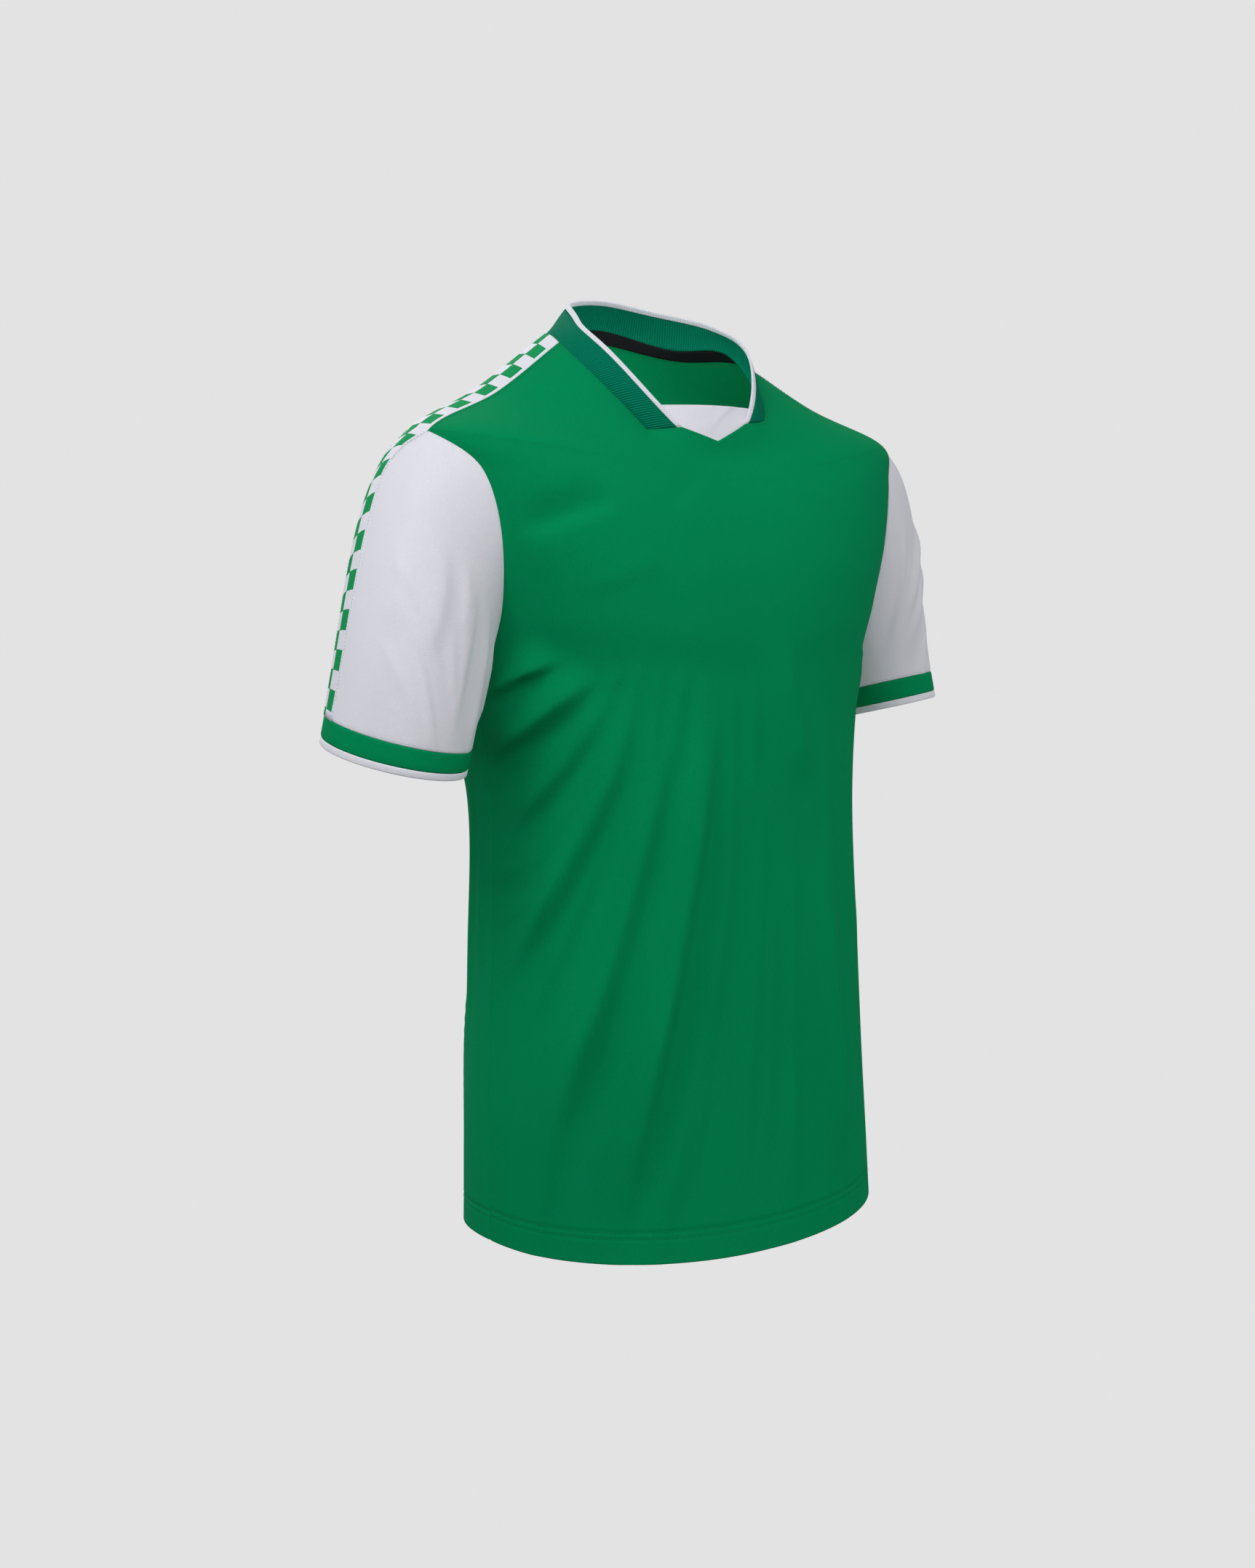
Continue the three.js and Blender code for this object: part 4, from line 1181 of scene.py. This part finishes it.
class JERSEY_OT_tapes(Piece, bpy.types.Operator):
    """Makes the checked tapes over the shoulders and down the sleeves"""

    bl_idname = "jersey.tapes"
    bl_label = "Shoulder tapes"

    def execute(self, context):
        width = sizes().tape_width / MM
        drop = -TAPE_EDGE_DROP * np.abs(TAPE_MARKS) ** 30
        for name in SLEEVES:
            points, normals = tape_points(name, width)
            points = points + normals * (TAPE_LIFT + drop)[None, :, None]
            along = lengths_along(points, 0)[:, len(TAPE_MARKS) // 2]
            uv = np.stack(np.meshgrid((TAPE_MARKS + 1) * width / 2, along), -1)
            sew(f"{name}_tape", f"shoulder_tape_{name}", points, uv, TAPE_WALL,
                "checked_tape")
        return {"FINISHED"}


class JERSEY_OT_stitching(Piece, bpy.types.Operator):
    """Sews the hem, the cuffs, the tapes and the neckline"""

    bl_idname = "jersey.stitching"
    bl_label = "Stitching"

    def execute(self, context):
        stitch = sizes().stitch / MM
        angles = np.linspace(-180, 180, 361)
        hem = np.linalg.norm(body_plain(angles, 0.1) - body_plain(angles, 0), axis=-1)
        lines = []
        for rise, _, _ in HEM_GROOVES:
            place = rise * 0.1 / hem
            lines.append((body(angles, place), body_normal(angles, place)))
        stitches("hem_stitches", lines, stitch, 1.0, 0.5, "green_thread")

        lines = []
        turns = np.linspace(-180, 180, 181)
        for sleeve in SLEEVES.values():
            share = share_above(sleeve, turns, CUFF_BAND + CUFF_STITCH_RISE)
            points = sleeve_plain(sleeve, turns, share)
            lines.append((points, sleeve_normal(sleeve, turns, share)))
        stitches("cuff_stitches", lines, 1.5, 0.8, 0.45, "light_thread")

        lines, shoulder = [], []
        width = sizes().tape_width / MM
        sleeve_part, yoke_part = slice(TAPE_ROWS, None), slice(TAPE_ROWS - 2)
        for name in SLEEVES:
            points, normals = tape_points(name, width)
            for column in (1, -2):
                up = normals[sleeve_part, column]
                lines.append((points[sleeve_part, column] + up * 0.85, up))
            points, normals = tape_points(name, width + 4.5)
            for column in (0, -1):
                up = normals[yoke_part, column]
                shoulder.append((points[yoke_part, column] + up * 0.1, up))
        stitches("tape_stitches", lines, 1.5, 1.3, 0.45, "tape_thread")
        stitches("shoulder_stitches", shoulder, stitch, 1.0, 0.5, "green_thread")

        angles = np.linspace(-180, 180, 721)
        up = np.linalg.norm(body_plain(angles, 9.9) - body_plain(angles, 10), axis=-1)
        place = NECK - NECK_STITCH_DROP * 0.1 / up
        line = (body(angles, place), body_plain_normal(angles, place))
        stitches("neck_stitches", [line], 1.9, 0.9, 0.5, "green_thread")
        return {"FINISHED"}


CAMERA = dict(azimuth=-34.56, distance=1596.92, height=-232.03, focal=2711.35,
              yaw=0.906, pitch=4.591, roll=1.750)
FRAME_PIXELS = (1725, 2156)
SENSOR = 36.0
FLOOR_Z = -1450.0
BACKGROUND = 0.768
# Where the world changes its grey, from straight down at 0 to straight up at 1.
WORLD = ((0.465, 0.14), (0.475, BACKGROUND), (0.66, BACKGROUND), (0.78, 0.14))
FLOOR_GLOW = 0.761
# The lamp inside the neck stands 40 mm in front of the origin and 110 mm below it.
INSIDE_ELEVATION = math.degrees(math.atan2(-0.11, 0.04))
INSIDE_DISTANCE = math.hypot(0.04, 0.11)


def around(azimuth, elevation):
    """A direction from the object, by azimuth from the front and elevation, in degrees."""
    a, e = math.radians(azimuth), math.radians(elevation)
    return Vector((math.sin(a) * math.cos(e), -math.cos(a) * math.cos(e), math.sin(e)))


def lamp(kind, name, azimuth, elevation, distance, shadow, **settings):
    """A lamp that shines at the neck from a direction and a distance in metres."""
    data = bpy.data.lights.new(name, kind)
    data.use_shadow = shadow
    for key, value in settings.items():
        setattr(data, key, value)
    made = bpy.data.objects.new(name, data)
    towards = around(azimuth, elevation)
    made.location = towards * distance
    made.rotation_euler = towards.to_track_quat("Z", "Y").to_euler()
    bpy.context.scene.collection.objects.link(made)


def sun(name, azimuth, elevation, strength, spread, shadow=True):
    """Parallel light, softened by its spread in degrees."""
    lamp("SUN", name, azimuth, elevation, 0, shadow, energy=strength,
         angle=math.radians(spread))


def softbox(name, azimuth, elevation, distance, strength, size, shadow=True):
    """A round lamp that falls off with distance; its strength is what reaches the neck."""
    lamp("AREA", name, azimuth, elevation, distance, shadow, shape="DISK", size=size,
         energy=strength * math.pi * distance**2)


class JERSEY_OT_stage(Piece, bpy.types.Operator):
    """Sets the floor, the light and the camera"""

    bl_idname = "jersey.stage"
    bl_label = "Floor, light and camera"

    def execute(self, context):
        scene = context.scene
        bm = bmesh.new()
        place = Matrix.Translation((0, 0, FLOOR_Z * MM))
        bmesh.ops.create_circle(bm, cap_ends=True, segments=96, radius=30, matrix=place)
        floor = finish_mesh("studio_floor", bm)
        paint = Finish("floor_paint", 0.95, specular=0.0)
        paint.set("Base Color", (0.01, 0.01, 0.01, 1))
        paint.set("Emission Color", (1, 1, 1, 1))
        paint.set("Emission Strength", FLOOR_GLOW)
        floor.data.materials.append(paint.material)
        floor.visible_diffuse = False
        floor.visible_glossy = False
        floor.visible_shadow = False

        world = bpy.data.worlds.new("studio")
        scene.world = world
        world.use_nodes = True
        sky = Nodes(world.node_tree)
        spot = sky.node("ShaderNodeTexCoord")
        height = sky.node("ShaderNodeSeparateXYZ", sockets={0: spot}, out=2)
        backdrop = world.node_tree.nodes["Background"].inputs["Color"]
        sky.join(backdrop, sky.ramp(height * 0.5 + 0.5, *WORLD))

        softbox("key_light", -78, 42, 3.4, 1.2, 1.6)
        softbox("left_light", -45, 25, 1.9, 1.1, 1.2, shadow=False)
        sun("front_light", 42, 12, 0.85, 20, shadow=False)
        sun("back_light", 165, 35, 1.7, 40)
        lamp("POINT", "inside_light", 0, INSIDE_ELEVATION, INSIDE_DISTANCE, True,
             energy=0.3, shadow_soft_size=0.02)

        az, pitch, roll = (CAMERA[k] for k in ("azimuth", "pitch", "roll"))
        data = bpy.data.cameras.new("photo_camera")
        data.sensor_fit = "VERTICAL"
        data.sensor_height = SENSOR
        data.lens = CAMERA["focal"] * SENSOR / FRAME_PIXELS[1]
        data.clip_end = 100
        camera = bpy.data.objects.new("photo_camera", data)
        scene.collection.objects.link(camera)
        back = around(az + CAMERA["yaw"], pitch)
        turn = math.radians(az + CAMERA["yaw"])
        right = Vector((math.cos(turn), math.sin(turn), 0))
        up = back.cross(right)
        r = math.radians(roll)
        x = right * math.cos(r) - up * math.sin(r)
        y = right * math.sin(r) + up * math.cos(r)
        stand = around(az, 0) * CAMERA["distance"] + Vector((0, 0, CAMERA["height"]))
        basis = Matrix((x, y, back)).transposed().to_4x4()
        camera.matrix_world = Matrix.Translation(stand * MM) @ basis
        scene.camera = camera
        scene.view_settings.view_transform = "Standard"
        return {"FINISHED"}


class JERSEY_PT_panel(bpy.types.Panel):
    """Lists the jersey's operators"""

    bl_idname = "JERSEY_PT_panel"
    bl_label = "Jersey"
    bl_space_type = "VIEW_3D"
    bl_region_type = "UI"
    bl_category = "Jersey"

    def draw(self, context):
        for group in (context.scene.jersey_sizes, context.scene.jersey_colours):
            for name in group.__annotations__:
                self.layout.prop(group, name)
        for operator in OPERATORS:
            self.layout.operator(operator.bl_idname)


OPERATORS = (
    JERSEY_OT_panels,
    JERSEY_OT_sleeves,
    JERSEY_OT_collar,
    JERSEY_OT_tapes,
    JERSEY_OT_stitching,
    JERSEY_OT_stage,
)
GROUPS = {"jersey_sizes": JerseySizes, "jersey_colours": JerseyColours}


def register():
    for name, group in GROUPS.items():
        bpy.utils.register_class(group)
        setattr(bpy.types.Scene, name, bpy.props.PointerProperty(type=group))
    for kind in (*OPERATORS, JERSEY_PT_panel):
        bpy.utils.register_class(kind)


def unregister():
    for kind in (JERSEY_PT_panel, *reversed(OPERATORS)):
        bpy.utils.unregister_class(kind)
    for name, group in GROUPS.items():
        delattr(bpy.types.Scene, name)
        bpy.utils.unregister_class(group)


def main():
    register()
    for operator in OPERATORS:
        group, name = operator.bl_idname.split(".")
        getattr(getattr(bpy.ops, group), name)()
    bpy.context.view_layer.update()


if __name__ == "__main__":
    main()
